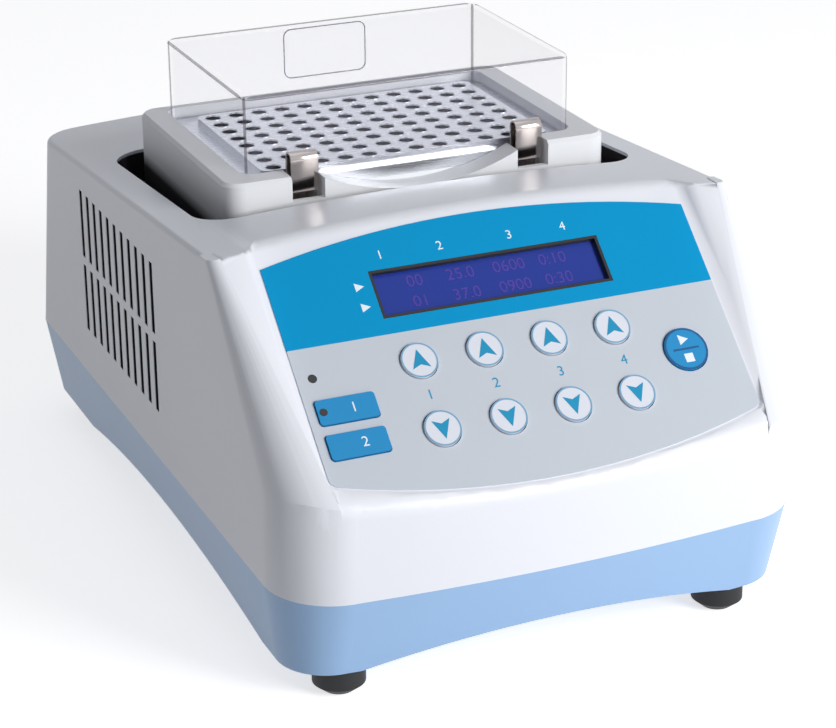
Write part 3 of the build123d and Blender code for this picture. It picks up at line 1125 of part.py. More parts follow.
# ================================================================ supply and control boards
def circuit_board(name, x, y, width, depth, blocks):
    """A board on four standoffs, with its larger components as blocks fused to it."""
    with BuildPart() as board:
        with BuildSketch(Plane.XY.offset(CHASSIS_TOP)):
            with Locations((x, y)):
                with GridLocations(width - 2 * STANDOFF_R, depth - 2 * STANDOFF_R, 2, 2):
                    Circle(STANDOFF_R)
        extrude(amount=BOARD_STANDOFF)
        with BuildSketch(Plane.XY.offset(CHASSIS_TOP + BOARD_STANDOFF)):
            with Locations((x, y)):
                Rectangle(width, depth)
        extrude(amount=BOARD_THICK)
        for block_x, block_y, block_width, block_depth, block_height in blocks:
            with BuildSketch(Plane.XY.offset(CHASSIS_TOP + BOARD_STANDOFF + BOARD_THICK)):
                with Locations((x + block_x, y + block_y)):
                    Rectangle(block_width, block_depth)
            extrude(amount=block_height)
    save(board, name)


circuit_board("power_supply", SUPPLY_X, SUPPLY_Y, SUPPLY_WIDTH, SUPPLY_DEPTH, SUPPLY_BLOCKS)
circuit_board("control_board", CONTROL_X, CONTROL_Y, CONTROL_WIDTH, CONTROL_DEPTH, CONTROL_BLOCKS)
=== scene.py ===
"""Looks of a benchtop thermal mixer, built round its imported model.

Lengths in this file are metres, in the model's own frame: +X to the right of someone facing the
control panel, +Y from the panel to the back, +Z up, with the origin on the bench.
"""

import logging
import math
from contextlib import contextmanager
from dataclasses import dataclass
from enum import Enum
from typing import Callable, Iterator, Sequence

import bpy
from mathutils import Matrix, Vector


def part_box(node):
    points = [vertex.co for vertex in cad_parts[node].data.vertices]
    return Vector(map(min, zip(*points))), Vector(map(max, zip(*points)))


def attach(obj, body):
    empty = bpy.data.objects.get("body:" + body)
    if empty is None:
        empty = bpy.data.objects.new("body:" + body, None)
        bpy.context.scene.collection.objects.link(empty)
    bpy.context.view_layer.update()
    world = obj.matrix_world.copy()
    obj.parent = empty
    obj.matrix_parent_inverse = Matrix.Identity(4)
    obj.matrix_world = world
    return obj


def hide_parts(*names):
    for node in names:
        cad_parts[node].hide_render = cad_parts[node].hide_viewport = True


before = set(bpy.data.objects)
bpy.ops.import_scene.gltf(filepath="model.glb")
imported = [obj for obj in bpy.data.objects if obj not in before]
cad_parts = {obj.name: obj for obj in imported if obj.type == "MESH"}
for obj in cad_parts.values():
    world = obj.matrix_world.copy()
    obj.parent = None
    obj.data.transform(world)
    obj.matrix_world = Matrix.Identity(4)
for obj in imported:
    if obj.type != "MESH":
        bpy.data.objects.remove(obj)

MM = 0.001
LOG = logging.getLogger("thermal_mixer")
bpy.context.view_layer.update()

Colour = tuple[float, float, float]
Point = tuple[float, float, float]
Piece = bpy.types.Object
Socket = bpy.types.NodeSocket
Tree = bpy.types.NodeTree

# the sloping panel: its x runs to the right, its y up the slope and its z out of it
PANEL_ANGLE = math.radians(41.8)
PANEL_ORIGIN = Vector((0.0, -0.0748, 0.1335))
PANEL_UP = Vector((0.0, math.cos(PANEL_ANGLE), math.sin(PANEL_ANGLE)))
PANEL_OUT = Vector((0.0, -math.sin(PANEL_ANGLE), math.cos(PANEL_ANGLE)))
FILM_TOP = 0.4 * MM
KEY_TOP = 1.2 * MM
PRINT_LIFT = 0.02 * MM
PRINT_THICK = 0.04 * MM

MERGE_GAP = 0.001 * MM
LEVEL_GAP = 0.01 * MM
SMOOTH_ANGLE = math.radians(32)


# ---- shader helpers
def srgb(red: int, green: int, blue: int) -> Colour:
    """Turn a colour as a screen shows it, 0 to 255, into linear light.

    Args:
        red: Red, 0 to 255.
        green: Green, 0 to 255.
        blue: Blue, 0 to 255.

    Returns:
        The same colour as linear values from 0 to 1.
    """
    def linear(value: int) -> float:
        """Undo the screen's curve for one channel."""
        share = value / 255
        return share / 12.92 if share <= 0.04045 else ((share + 0.055) / 1.055) ** 2.4
    return linear(red), linear(green), linear(blue)


@dataclass
class NodeSheet:
    """A node tree that is being drawn, with short calls to add and link nodes."""

    tree: Tree

    def add(self, kind: str, **settings: object) -> bpy.types.Node:
        """Add a node and set its properties and sockets.

        Args:
            kind: Blender's name for the node type, without its ShaderNode prefix.
            settings: Properties by name; a name that is a socket sets the socket's value.

        Returns:
            The new node.
        """
        prefix = "" if kind.startswith("NodeGroup") else "ShaderNode"
        node = self.tree.nodes.new(prefix + kind)
        for name, value in settings.items():
            socket = node.inputs.get(name.replace("_", " "))
            if hasattr(node, name):
                setattr(node, name, value)
            elif socket is not None:
                socket.default_value = value
            else:
                raise KeyError(f"{kind} has no property or socket {name}")
        return node

    def link(self, out: Socket, into: Socket) -> None:
        """Link an output socket to an input socket."""
        self.tree.links.new(out, into)

    def position(self) -> Socket:
        """Give the place on the object, in its own frame."""
        return self.add("TexCoord").outputs["Object"]

    def axes(self) -> Sequence[Socket]:
        """Give the place's X, Y and Z."""
        split = self.add("SeparateXYZ")
        self.link(self.position(), split.inputs[0])
        return tuple(split.outputs)

    def up_panel(self) -> Socket:
        """Give the place's distance along the sloping panel's upward direction."""
        along = self.add("VectorMath", operation="DOT_PRODUCT")
        along.inputs[1].default_value = PANEL_UP
        self.link(self.position(), along.inputs[0])
        return along.outputs["Value"]

    def between(self, value: Socket, low: float, high: float) -> Socket:
        """Give 1 where a value lies between two limits, and 0 elsewhere."""
        return self.math("MULTIPLY", self.math("GREATER_THAN", value, low),
                         self.math("LESS_THAN", value, high))

    def math(self, operation: str, first: object, second: object = 0.0) -> Socket:
        """Add a Math node.

        Args:
            operation: Blender's name for the operation.
            first: A socket or a number.
            second: A socket or a number.

        Returns:
            The node's output socket.
        """
        node = self.tree.nodes.new("ShaderNodeMath")
        node.operation = operation
        for index, value in enumerate((first, second)):
            if isinstance(value, Socket):
                self.link(value, node.inputs[index])
            else:
                node.inputs[index].default_value = value
        return node.outputs[0]

    def mix(self, share: object, first: object, second: object) -> Socket:
        """Mix two colours.

        Args:
            share: Socket or number from 0, all first, to 1, all second.
            first: A socket or a linear colour.
            second: A socket or a linear colour.

        Returns:
            The mixed colour's socket.
        """
        node = self.tree.nodes.new("ShaderNodeMix")
        node.data_type = "RGBA"
        for index, value in ((0, share), (6, first), (7, second)):
            if isinstance(value, Socket):
                self.link(value, node.inputs[index])
            elif index == 0:
                node.inputs[index].default_value = value
            else:
                node.inputs[index].default_value = (*value, 1.0)
        return node.outputs[2]


class Effects:
    """The shader groups that several finishes share."""

    def __init__(self) -> None:
        """Build the groups once."""
        self.grain = self._grain()
        self.drift = self._drift()
        self.brushed = self._brushed()

    @staticmethod
    def _start(name: str, inputs: Sequence[tuple[str, str, float]],
               outputs: Sequence[tuple[str, str]]) -> tuple[NodeSheet, bpy.types.Node, bpy.types.Node]:
        """Make an empty group with its sockets.

        Args:
            name: The group's name.
            inputs: Name, socket type and default of each input.
            outputs: Name and socket type of each output.

        Returns:
            The group's sheet, its input node and its output node.
        """
        tree = bpy.data.node_groups.new(name, "ShaderNodeTree")
        for label, kind, default in inputs:
            socket = tree.interface.new_socket(label, in_out="INPUT", socket_type=kind)
            if kind == "NodeSocketFloat":
                socket.default_value = default
        for label, kind in outputs:
            tree.interface.new_socket(label, in_out="OUTPUT", socket_type=kind)
        sheet = NodeSheet(tree)
        return sheet, sheet.add("NodeGroupInput"), sheet.add("NodeGroupOutput")

    @staticmethod
    def _swing(sheet: NodeSheet, noise: bpy.types.Node,
               amount: Socket) -> Socket:
        """Give how far a noise is from its middle, times an amount."""
        return sheet.math("MULTIPLY", sheet.math("SUBTRACT", noise.outputs["Fac"], 0.5), amount)

    def _grain(self) -> Tree:
        """Spark-eroded mould texture: a fine height and a roughness that follows it."""
        sheet, given, out = self._start(
            "mould_grain",
            [("Scale", "NodeSocketFloat", 1800.0), ("Roughness", "NodeSocketFloat", 0.4),
             ("Spread", "NodeSocketFloat", 0.1)],
            [("Height", "NodeSocketFloat"), ("Roughness", "NodeSocketFloat")])
        place = sheet.position()
        fine = sheet.add("TexNoise", Detail=2.0)
        broad = sheet.add("TexNoise", Scale=14.0, Detail=3.0)
        sheet.link(place, fine.inputs["Vector"])
        sheet.link(place, broad.inputs["Vector"])
        sheet.link(given.outputs["Scale"], fine.inputs["Scale"])
        sheet.link(fine.outputs["Fac"], out.inputs["Height"])
        swing = self._swing(sheet, broad, given.outputs["Spread"])
        sheet.link(sheet.math("ADD", given.outputs["Roughness"], swing), out.inputs["Roughness"])
        return sheet.tree

    def _drift(self) -> Tree:
        """Slow change of tone over a moulded surface."""
        sheet, given, out = self._start(
            "tone_drift",
            [("Colour", "NodeSocketColor", 0.0), ("Amount", "NodeSocketFloat", 0.03),
             ("Scale", "NodeSocketFloat", 9.0)],
            [("Colour", "NodeSocketColor")])
        place = sheet.position()
        cloud = sheet.add("TexNoise", Detail=2.0)
        sheet.link(place, cloud.inputs["Vector"])
        sheet.link(given.outputs["Scale"], cloud.inputs["Scale"])
        swing = self._swing(sheet, cloud, given.outputs["Amount"])
        bright = sheet.add("HueSaturation")
        sheet.link(given.outputs["Colour"], bright.inputs["Color"])
        sheet.link(sheet.math("ADD", swing, 1.0), bright.inputs["Value"])
        sheet.link(bright.outputs["Color"], out.inputs["Colour"])
        return sheet.tree

    def _brushed(self) -> Tree:
        """Long fine scratches along X, as height and roughness."""
        sheet, given, out = self._start(
            "brushed_lines",
            [("Scale", "NodeSocketFloat", 900.0), ("Roughness", "NodeSocketFloat", 0.3),
             ("Spread", "NodeSocketFloat", 0.2)],
            [("Height", "NodeSocketFloat"), ("Roughness", "NodeSocketFloat")])
        place = sheet.position()
        stretch = sheet.add("Mapping", Scale=(0.02, 1.0, 1.0))
        lines = sheet.add("TexNoise", Detail=3.0)
        sheet.link(place, stretch.inputs["Vector"])
        sheet.link(stretch.outputs["Vector"], lines.inputs["Vector"])
        sheet.link(given.outputs["Scale"], lines.inputs["Scale"])
        sheet.link(lines.outputs["Fac"], out.inputs["Height"])
        swing = self._swing(sheet, lines, given.outputs["Spread"])
        sheet.link(sheet.math("ADD", given.outputs["Roughness"], swing), out.inputs["Roughness"])
        return sheet.tree


# ---- finishes
@dataclass(frozen=True)
class Finish:
    """A surface finish: what every material here has in common."""

    name: str
    colour: Colour
    roughness: float = 0.4
    metallic: float = 0.0
    coat: float = 0.0
    specular: float = 0.5
    grain_scale: float = 1800.0
    grain_height: float = 0.00001
    roughness_spread: float = 0.1
    drift: float = 0.03
    brushed: bool = False

    def material(self, effects: Effects) -> bpy.types.Material:
        """Make the finish's material.

        Args:
            effects: The shared shader groups.

        Returns:
            The new material.
        """
        made = bpy.data.materials.new(self.name)
        made.use_nodes = True
        sheet = NodeSheet(made.node_tree)
        shader = made.node_tree.nodes["Principled BSDF"]
        shader.inputs["Metallic"].default_value = self.metallic
        shader.inputs["Coat Weight"].default_value = self.coat
        shader.inputs["Specular IOR Level"].default_value = self.specular
        texture = sheet.add("Group", node_tree=effects.brushed if self.brushed else effects.grain)
        texture.inputs["Scale"].default_value = self.grain_scale
        texture.inputs["Roughness"].default_value = self.roughness
        texture.inputs["Spread"].default_value = self.roughness_spread
        bump = sheet.add("Bump", Strength=1.0, Distance=self.grain_height)
        sheet.link(texture.outputs["Height"], bump.inputs["Height"])
        sheet.link(bump.outputs["Normal"], shader.inputs["Normal"])
        sheet.link(texture.outputs["Roughness"], shader.inputs["Roughness"])
        tone = sheet.add("Group", node_tree=effects.drift)
        tone.inputs["Amount"].default_value = self.drift
        self.paint(sheet, tone.inputs["Colour"])
        sheet.link(tone.outputs["Colour"], shader.inputs["Base Color"])
        self.extra(sheet, shader)
        made.diffuse_color = (*self.colour, 1.0)
        return made

    def paint(self, sheet: NodeSheet, colour: Socket) -> None:
        """Set the base colour; finishes with a pattern draw it here."""
        colour.default_value = (*self.colour, 1.0)

    def extra(self, sheet: NodeSheet, shader: bpy.types.Node) -> None:
        """Add what only some finishes have."""


@dataclass(frozen=True)
class HousingPlastic(Finish):
    """White moulded plastic, with painted shade in its vents and on the skirt under its opening."""

    # painted shade for the vents' edges and for the skirt under the opening
    shield: Colour = srgb(34, 32, 36)
    vents_low: Point = (0.0900, -0.0175, 0.0575)
    vents_high: Point = (0.0948, 0.0765, 0.1185)
    opening_half_width: float = 0.0833
    opening_front: float = -0.0383
    opening_rear: float = 0.0733
    rim: float = 0.0012
    top_rear: tuple[float, float] = (0.1259, 0.1220)
    top_slope: float = 0.0766
    top_crown: float = 0.0040
    half_width: float = 0.095

    def paint(self, sheet: NodeSheet, colour: Socket) -> None:
        """Paint shade onto the vents' edges and the opening's skirt, all but their outer rims."""
        sideways, along, up = sheet.axes()
        across = sheet.math("ABSOLUTE", sideways)
        in_vents = sheet.between(across, self.vents_low[0], self.vents_high[0])
        for value, low, high in ((along, self.vents_low[1], self.vents_high[1]),
                                 (up, self.vents_low[2], self.vents_high[2])):
            in_vents = sheet.math("MULTIPLY", in_vents, sheet.between(value, low, high))
        outward = sheet.math("DIVIDE", across, self.half_width)
        bulge = sheet.math("MULTIPLY", sheet.math("POWER", outward, 2.0), -self.top_crown)
        rise = sheet.math("MULTIPLY", sheet.math("SUBTRACT", self.top_rear[0], along), self.top_slope)
        surface = sheet.math("ADD", sheet.math("ADD", bulge, rise),
                             self.top_rear[1] + self.top_crown - self.rim)
        in_opening = sheet.math("MULTIPLY", sheet.between(across, -1.0, self.opening_half_width),
                                sheet.between(along, self.opening_front, self.opening_rear))
        in_opening = sheet.math("MULTIPLY", in_opening, sheet.math("LESS_THAN", up, surface))
        # where the painted shade goes: the vents' edges and the skirt below the top's surface
        dark = sheet.math("MAXIMUM", in_vents, in_opening)
        sheet.link(sheet.mix(dark, self.colour, self.shield), colour)


HOUSING_WHITE = HousingPlastic("housing_white", srgb(238, 240, 247), roughness=0.36, coat=0.1,
                               grain_height=0.000012)
BASE_BLUE = Finish("base_blue", srgb(158, 194, 234), roughness=0.38, coat=0.1, grain_height=0.000012)


@dataclass(frozen=True)
class CarriagePlastic(Finish):
    """White moulded plastic with painted shade where it stands inside the case's opening."""

    # painted shade for the skirt inside the case's opening
    hidden: Colour = srgb(26, 26, 30)
    case_top: float = 0.1308
    fade: float = 0.0050

    def paint(self, sheet: NodeSheet, colour: Socket) -> None:
        """Paint shade onto the skirt, from the case's top downwards."""
        depth = sheet.math("DIVIDE", sheet.math("SUBTRACT", self.case_top, sheet.axes()[2]), self.fade)
        share = sheet.math("MINIMUM", sheet.math("MAXIMUM", depth, 0.0), 1.0)
        sheet.link(sheet.mix(share, self.colour, self.hidden), colour)


CARRIAGE_WHITE = CarriagePlastic("carriage_white", srgb(240, 242, 245), roughness=0.42)
FOOT_RUBBER = Finish("foot_rubber", srgb(18, 18, 20), roughness=0.6, grain_height=0.00004)
DARK_PLASTIC = Finish("dark_plastic", srgb(20, 20, 23), roughness=0.5)
STEEL = Finish("turned_steel", srgb(160, 160, 162), roughness=0.3, metallic=1.0, brushed=True)
ZINC = Finish("zinc_plate", srgb(176, 174, 165), roughness=0.36, metallic=1.0, drift=0.12)
CLIP_STEEL = Finish("sprung_steel", srgb(182, 174, 170), roughness=0.14, metallic=1.0, brushed=True,
                    grain_height=0.000004)
ALUMINIUM = Finish("machined_aluminium", srgb(206, 208, 214), roughness=0.28, metallic=1.0, brushed=True)
MOTOR_PAINT = Finish("motor_paint", srgb(52, 54, 60), roughness=0.45, coat=0.3)
BOARD_GREEN = Finish("board_lacquer", srgb(22, 84, 48), roughness=0.3, coat=0.5)
FOAM = Finish("insulation_foam", srgb(205, 198, 176), roughness=0.9, grain_height=0.0002,
              grain_scale=700.0)
HEATER = Finish("heater_mat", srgb(176, 92, 48), roughness=0.55)
BRASS = Finish("plated_brass", srgb(206, 184, 128), roughness=0.25, metallic=1.0)
KEY_WHITE = Finish("key_white", srgb(226, 230, 240), roughness=0.4, coat=0.1)
KEY_BLUE = Finish("key_blue", srgb(8, 140, 200), roughness=0.35, coat=0.15)
LAMP_BLACK = Finish("lamp_black", srgb(8, 8, 10), roughness=0.2, coat=0.6)
DISPLAY_BLUE = Finish("display_blue", srgb(14, 48, 150), roughness=0.22, coat=0.2, specular=0.3,
                      grain_height=0.0)
# painted shading of the white keys' rounded rims
RIM_SHADING_BLUE = Finish("rim_shading_blue", srgb(120, 168, 202), roughness=0.4, drift=0.02)
MARK_TEAL = Finish("mark_teal", srgb(6, 146, 190), roughness=0.4, drift=0.04)
MARK_WHITE = Finish("mark_white", srgb(240, 250, 255), roughness=0.4, drift=0.02)
# painted shading of the start key's rounded rim, and the colour of its printed bar
START_RIM = Finish("start_rim", srgb(10, 84, 140), roughness=0.35, drift=0.05)
# black for the liner that stands for the shade in the display's cut-out
SHADE_LINER_BLACK = Finish("shade_liner_black", srgb(6, 6, 8), roughness=0.5)
PAD_EDGE = Finish("pad_edge", srgb(120, 122, 136), roughness=0.3)


@dataclass(frozen=True)
class DotSegments(Finish):
    """Display characters that are made of small square dots."""

    glass: Colour = srgb(14, 48, 150)
    pitch: float = 0.55 * MM
    dot_share: float = 0.72

    def paint(self, sheet: NodeSheet, colour: Socket) -> None:
        """Cut the characters into dots, in the panel's own directions."""
        dots = None
        for value in (sheet.axes()[0], sheet.up_panel()):
            within = sheet.math("FRACT", sheet.math("DIVIDE", value, self.pitch))
            inside = sheet.math("LESS_THAN", within, self.dot_share)
            dots = inside if dots is None else sheet.math("MULTIPLY", dots, inside)
        sheet.link(sheet.mix(dots, self.glass, self.colour), colour)


DISPLAY_DOTS = DotSegments("display_dots", srgb(98, 58, 168), roughness=0.3, drift=0.0)


@dataclass(frozen=True)
class WellMetal(Finish):
    """Machined aluminium with painted shade down the wells."""

    # painted shade down the wells
    dark: Colour = srgb(26, 26, 32)
    rim_height: float = 0.1441

    def paint(self, sheet: NodeSheet, colour: Socket) -> None:
        """Paint shade onto what lies below the rims."""
        deep = sheet.math("LESS_THAN", sheet.axes()[2], self.rim_height)
        sheet.link(sheet.mix(deep, self.colour, self.dark), colour)


WELL_METAL = WellMetal("well_metal", srgb(206, 208, 214), roughness=0.3, metallic=1.0)


@dataclass(frozen=True)
class PanelFilm(Finish):
    """The printed film on the sloping panel: a blue band over a pale grey field."""

    lower: Colour = srgb(203, 210, 219)
    split: float = -0.033

    def paint(self, sheet: NodeSheet, colour: Socket) -> None:
        """Draw the two fields, split at a height up the panel."""
        start = PANEL_UP.dot(PANEL_ORIGIN) + self.split
        above = sheet.math("GREATER_THAN", sheet.up_panel(), start)
        sheet.link(sheet.mix(above, self.lower, self.colour), colour)


@dataclass(frozen=True)
class ClearPlastic(Finish):
    """Clear moulded plastic with painted shade along its edges, where the sheet is seen end on."""

    # painted shade for the corners and the top's edges
    edge: Colour = srgb(84, 76, 92)
    face_alpha: float = 0.055
    edge_alpha: float = 0.62
    half_width: float = 62.6 * MM
    half_depth: float = 41.9 * MM
    middle_y: float = 20.2 * MM
    top: float = 172.6 * MM
    rim: float = 0.9 * MM
    corner: float = 1.9 * MM

    def paint(self, sheet: NodeSheet, colour: Socket) -> None:
        """Paint shade onto the corners and the top's edges."""
        sheet.link(sheet.mix(self.on_edge(sheet), self.colour, self.edge), colour)

    def extra(self, sheet: NodeSheet, shader: bpy.types.Node) -> None:
        """Let light through the faces, and less through the painted-shade edges."""
        denser = sheet.math("MULTIPLY", self.on_edge(sheet), self.edge_alpha - self.face_alpha)
        sheet.link(sheet.math("ADD", denser, self.face_alpha), shader.inputs["Alpha"])

    def on_edge(self, sheet: NodeSheet) -> Socket:
        """Give 1 at the corners and along the top's edges, and 0 elsewhere."""
        sideways, lengthways, up = sheet.axes()
        across = sheet.math("ABSOLUTE", sideways)
        along = sheet.math("ABSOLUTE", sheet.math("SUBTRACT", lengthways, self.middle_y))
        at_corner, at_side = (
            sheet.math(how, sheet.math("GREATER_THAN", across, self.half_width - reach),
                       sheet.math("GREATER_THAN", along, self.half_depth - reach))
            for how, reach in (("MULTIPLY", self.corner), ("MAXIMUM", self.rim)))
        at_top = sheet.math("GREATER_THAN", up, self.top - self.rim)
        return sheet.math("MAXIMUM", at_corner, sheet.math("MULTIPLY", at_side, at_top))


PANEL_FILM = PanelFilm("panel_film", srgb(0, 152, 208), roughness=0.45, specular=0.15, drift=0.02)
COVER_CLEAR = ClearPlastic("cover_clear", srgb(226, 224, 242), roughness=0.05, grain_height=0.0,
                           drift=0.0, roughness_spread=0.0)

NODE_FINISH: dict[str, Finish] = {
    "top_housing": HOUSING_WHITE, "base_shell": BASE_BLUE, "feet": FOOT_RUBBER, "foot_screws": STEEL,
    "case_screws": STEEL, "panel_overlay": PANEL_FILM, "display_window": DISPLAY_BLUE,
    "display_module": DARK_PLASTIC, "display_board": BOARD_GREEN, "status_lamp": LAMP_BLACK,
    "chassis_plate": ZINC, "deck_pillars": ZINC, "deck_plate": ALUMINIUM, "main_bearing": STEEL,
    "motor": MOTOR_PAINT, "eccentric_shaft": STEEL, "counterweight": ZINC, "drive_plate": ALUMINIUM,
    "drive_bearing": STEEL, "carriage_spacers": ZINC, "carriage_shell": CARRIAGE_WHITE,
    "insulation_pad": FOAM, "heater_plate": HEATER, "heating_block": ALUMINIUM,
    "temperature_sensor": STEEL, "clear_cover": COVER_CLEAR, "clip_left": CLIP_STEEL,
    "clip_right": CLIP_STEEL, "fan_frame": DARK_PLASTIC, "fan_rotor": DARK_PLASTIC,
    "inlet_socket": DARK_PLASTIC, "inlet_blades": BRASS, "fuse_drawer": DARK_PLASTIC,
    "switch_frame": DARK_PLASTIC, "power_rocker": DARK_PLASTIC, "power_supply": BOARD_GREEN,
    "control_board": BOARD_GREEN, "key_start": KEY_BLUE, "key_mode_1": KEY_BLUE, "key_mode_2": KEY_BLUE,
    **{f"idler_crank_{number}": STEEL for number in range(1, 5)},
    **{f"key_{way}_{number}": KEY_WHITE for way in ("up", "down") for number in range(1, 5)},
}


class Wardrobe:
    """Holds one material for each finish."""

    def __init__(self) -> None:
        """Start with the shared effects and no materials."""
        self.effects = Effects()
        self.made: dict[str, bpy.types.Material] = {}

    def material(self, finish: Finish) -> bpy.types.Material:
        """Give a finish's material, made at its first use."""
        if finish.name not in self.made:
            self.made[finish.name] = finish.material(self.effects)
        return self.made[finish.name]

    def dress(self, piece: Piece, finish: Finish) -> None:
        """Give a whole piece one finish."""
        piece.data.materials.clear()
        piece.data.materials.append(self.material(finish))


# ---- modelling
@contextmanager
def editing() -> Iterator[None]:
    """Edit the active mesh, all of it selected, and go back to object mode afterwards."""
    bpy.ops.object.mode_set(mode="EDIT")
    bpy.ops.mesh.select_all(action="SELECT")
    yield
    bpy.ops.object.mode_set(mode="OBJECT")


class Workbench:
    """Makes small shapes in the XY plane and moves finished ones to their place."""

    def __init__(self, wardrobe: Wardrobe) -> None:
        """Keep the materials at hand."""
        self.wardrobe = wardrobe

    @staticmethod
    def clear() -> None:
        """Deselect everything, so that an operator meets only what is new."""
        if bpy.context.object and bpy.context.object.mode != "OBJECT":
            bpy.ops.object.mode_set(mode="OBJECT")
        bpy.ops.object.select_all(action="DESELECT")

    def disc(self, radius: float, sides: int = 48) -> Piece:
        """Add a flat disc at the origin."""
        self.clear()
        bpy.ops.mesh.primitive_circle_add(vertices=sides, radius=radius, fill_type="NGON")
        return bpy.context.object

    def ring(self, outer: float, inner: float, sides: int = 64) -> Piece:
        """Add a flat ring at the origin.

        Args:
            outer: Its outer radius.
            inner: Its inner radius.
            sides: How many sides it has.

        Returns:
            The ring.
        """
        piece = self.disc(outer, sides)
        self.hollow(outer - inner)
        return piece

    @staticmethod
    def hollow(border: float) -> None:
        """Turn the flat active shape into a frame with an even border."""
        with editing():
            bpy.ops.mesh.inset(thickness=border)
            bpy.ops.mesh.delete(type="FACE")

    def plate(self, width: float, height: float, corner: float = 0.0) -> Piece:
        """Add a flat rectangle at the origin, with round corners where a radius is given."""
        self.clear()
        bpy.ops.mesh.primitive_plane_add(size=1.0)
        piece = bpy.context.object
        piece.scale = (width, height, 1.0)
        bpy.ops.object.transform_apply(scale=True)
        if corner:
            with editing():
                bpy.ops.mesh.bevel(offset=corner, offset_type="OFFSET", segments=6, affect="VERTICES")
        return piece

    def dart(self, corners: Sequence[tuple[float, float]]) -> Piece:
        """Add a flat shape with the given corners, in order round it."""
        piece = self.disc(1.0, len(corners))
        for vertex, (x, y) in zip(piece.data.vertices, corners):
            vertex.co = (x, y, 0.0)
        return piece

    def text(self, words: str, size: float) -> Piece:
        """Add flat characters centred on the origin, as a mesh."""
        self.clear()
        bpy.ops.object.text_add()
        piece = bpy.context.object
        piece.data.body = words
        piece.data.size = size
        piece.data.align_x = "CENTER"
        piece.data.align_y = "CENTER"
        bpy.ops.object.convert(target="MESH")
        return bpy.context.object

    def prism(self, sides: int) -> Piece:
        """Add a prism whose lower corners come first in its mesh, then the upper ones."""
        piece = self.disc(MM, sides)
        with editing():
            bpy.ops.mesh.extrude_region_move(TRANSFORM_OT_translate={"value": (0.0, 0.0, MM)})
        return piece

    def face_outwards(self, piece: Piece) -> Piece:
        """Turn a closed shape's faces outwards."""
        self.activate(piece)
        with editing():
            bpy.ops.mesh.normals_make_consistent(inside=False)
        return piece

    def copy_node(self, name: str) -> Piece:
        """Copy a node with a mesh of its own, and merge the mesh's split corners."""
        self.clear()
        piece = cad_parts[name].copy()
        piece.data = piece.data.copy()
        bpy.context.collection.objects.link(piece)
        self.activate(piece)
        with editing():
            bpy.ops.mesh.remove_doubles(threshold=MERGE_GAP)
        return piece

    @staticmethod
    def shift(piece: Piece, x: float, y: float, z: float = 0.0,
              turn: float = 0.0) -> Piece:
        """Turn a shape about Z and move it, in its mesh."""
        piece.data.transform(Matrix.Translation((x, y, z)) @ Matrix.Rotation(turn, 4, "Z"))
        return piece

    def join(self, pieces: Sequence[Piece]) -> Piece:
        """Join shapes into the first of them."""
        self.clear()
        for piece in pieces:
            piece.select_set(True)
        bpy.context.view_layer.objects.active = pieces[0]
        if len(pieces) > 1:
            bpy.ops.object.join()
        return pieces[0]

    def thicken(self, piece: Piece, amount: float, offset: float = 1.0) -> Piece:
        """Give a flat shape a thickness, upwards unless the offset says otherwise."""
        self.activate(piece)
        faces = piece.modifiers.new("thickness", "SOLIDIFY")
        faces.thickness = amount
        faces.offset = offset
        bpy.ops.object.modifier_apply(modifier=faces.name)
        return piece

    def activate(self, piece: Piece) -> None:
        """Make a piece the only one selected."""
        self.clear()
        piece.select_set(True)
        bpy.context.view_layer.objects.active = piece

    def settle(self, piece: Piece, name: str, finish: Finish, body: str, slot: str,
               matrix: Matrix = Matrix.Identity(4), smooth: bool = True) -> Piece:
        """Finish a piece: its place, name, material and body.

        Args:
            piece: The modelled piece.
            name: Its name.
            finish: Its finish.
            body: The body that it rides on.
            slot: The record's material slot; not used.
            matrix: Where it goes.
            smooth: Whether its round faces are shaded smooth.

        Returns:
            The finished piece.
        """
        self.activate(piece)
        piece.data.transform(matrix @ piece.matrix_world)
        piece.matrix_world = Matrix.Identity(4)
        piece.name = name
        piece.data.name = name
        if smooth:
            bpy.ops.object.shade_smooth_by_angle(angle=SMOOTH_ANGLE)
        self.wardrobe.dress(piece, finish)
        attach(piece, body)
        LOG.info("made %s", name)
        return piece

    def mark(self, piece: Piece, name: str, finish: Finish, body: str, slot: str,
             matrix: Matrix, smooth: bool = True) -> Piece:
        """Give a flat shape the thickness of print, and finish it as settle does."""
        return self.settle(self.thicken(piece, PRINT_THICK), name, finish, body, slot, matrix, smooth)


def panel_place(x: float, up: float, out: float) -> Matrix:
    """Matrix that carries the XY plane to a point of the sloping panel.

    Args:
        x: To the right of the centre line.
        up: Up the slope from the panel's origin.
        out: Out of the panel.

    Returns:
        The matrix.
    """
    origin = PANEL_ORIGIN + Vector((x, 0.0, 0.0)) + PANEL_UP * up + PANEL_OUT * out
    turn = Matrix((Vector((1.0, 0.0, 0.0)), PANEL_UP, PANEL_OUT)).transposed().to_4x4()
    return Matrix.Translation(origin) @ turn


# ---- control panel
class Way(Enum):
    """Which way a key's arrow points."""

    UP = 0.0
    DOWN = math.pi


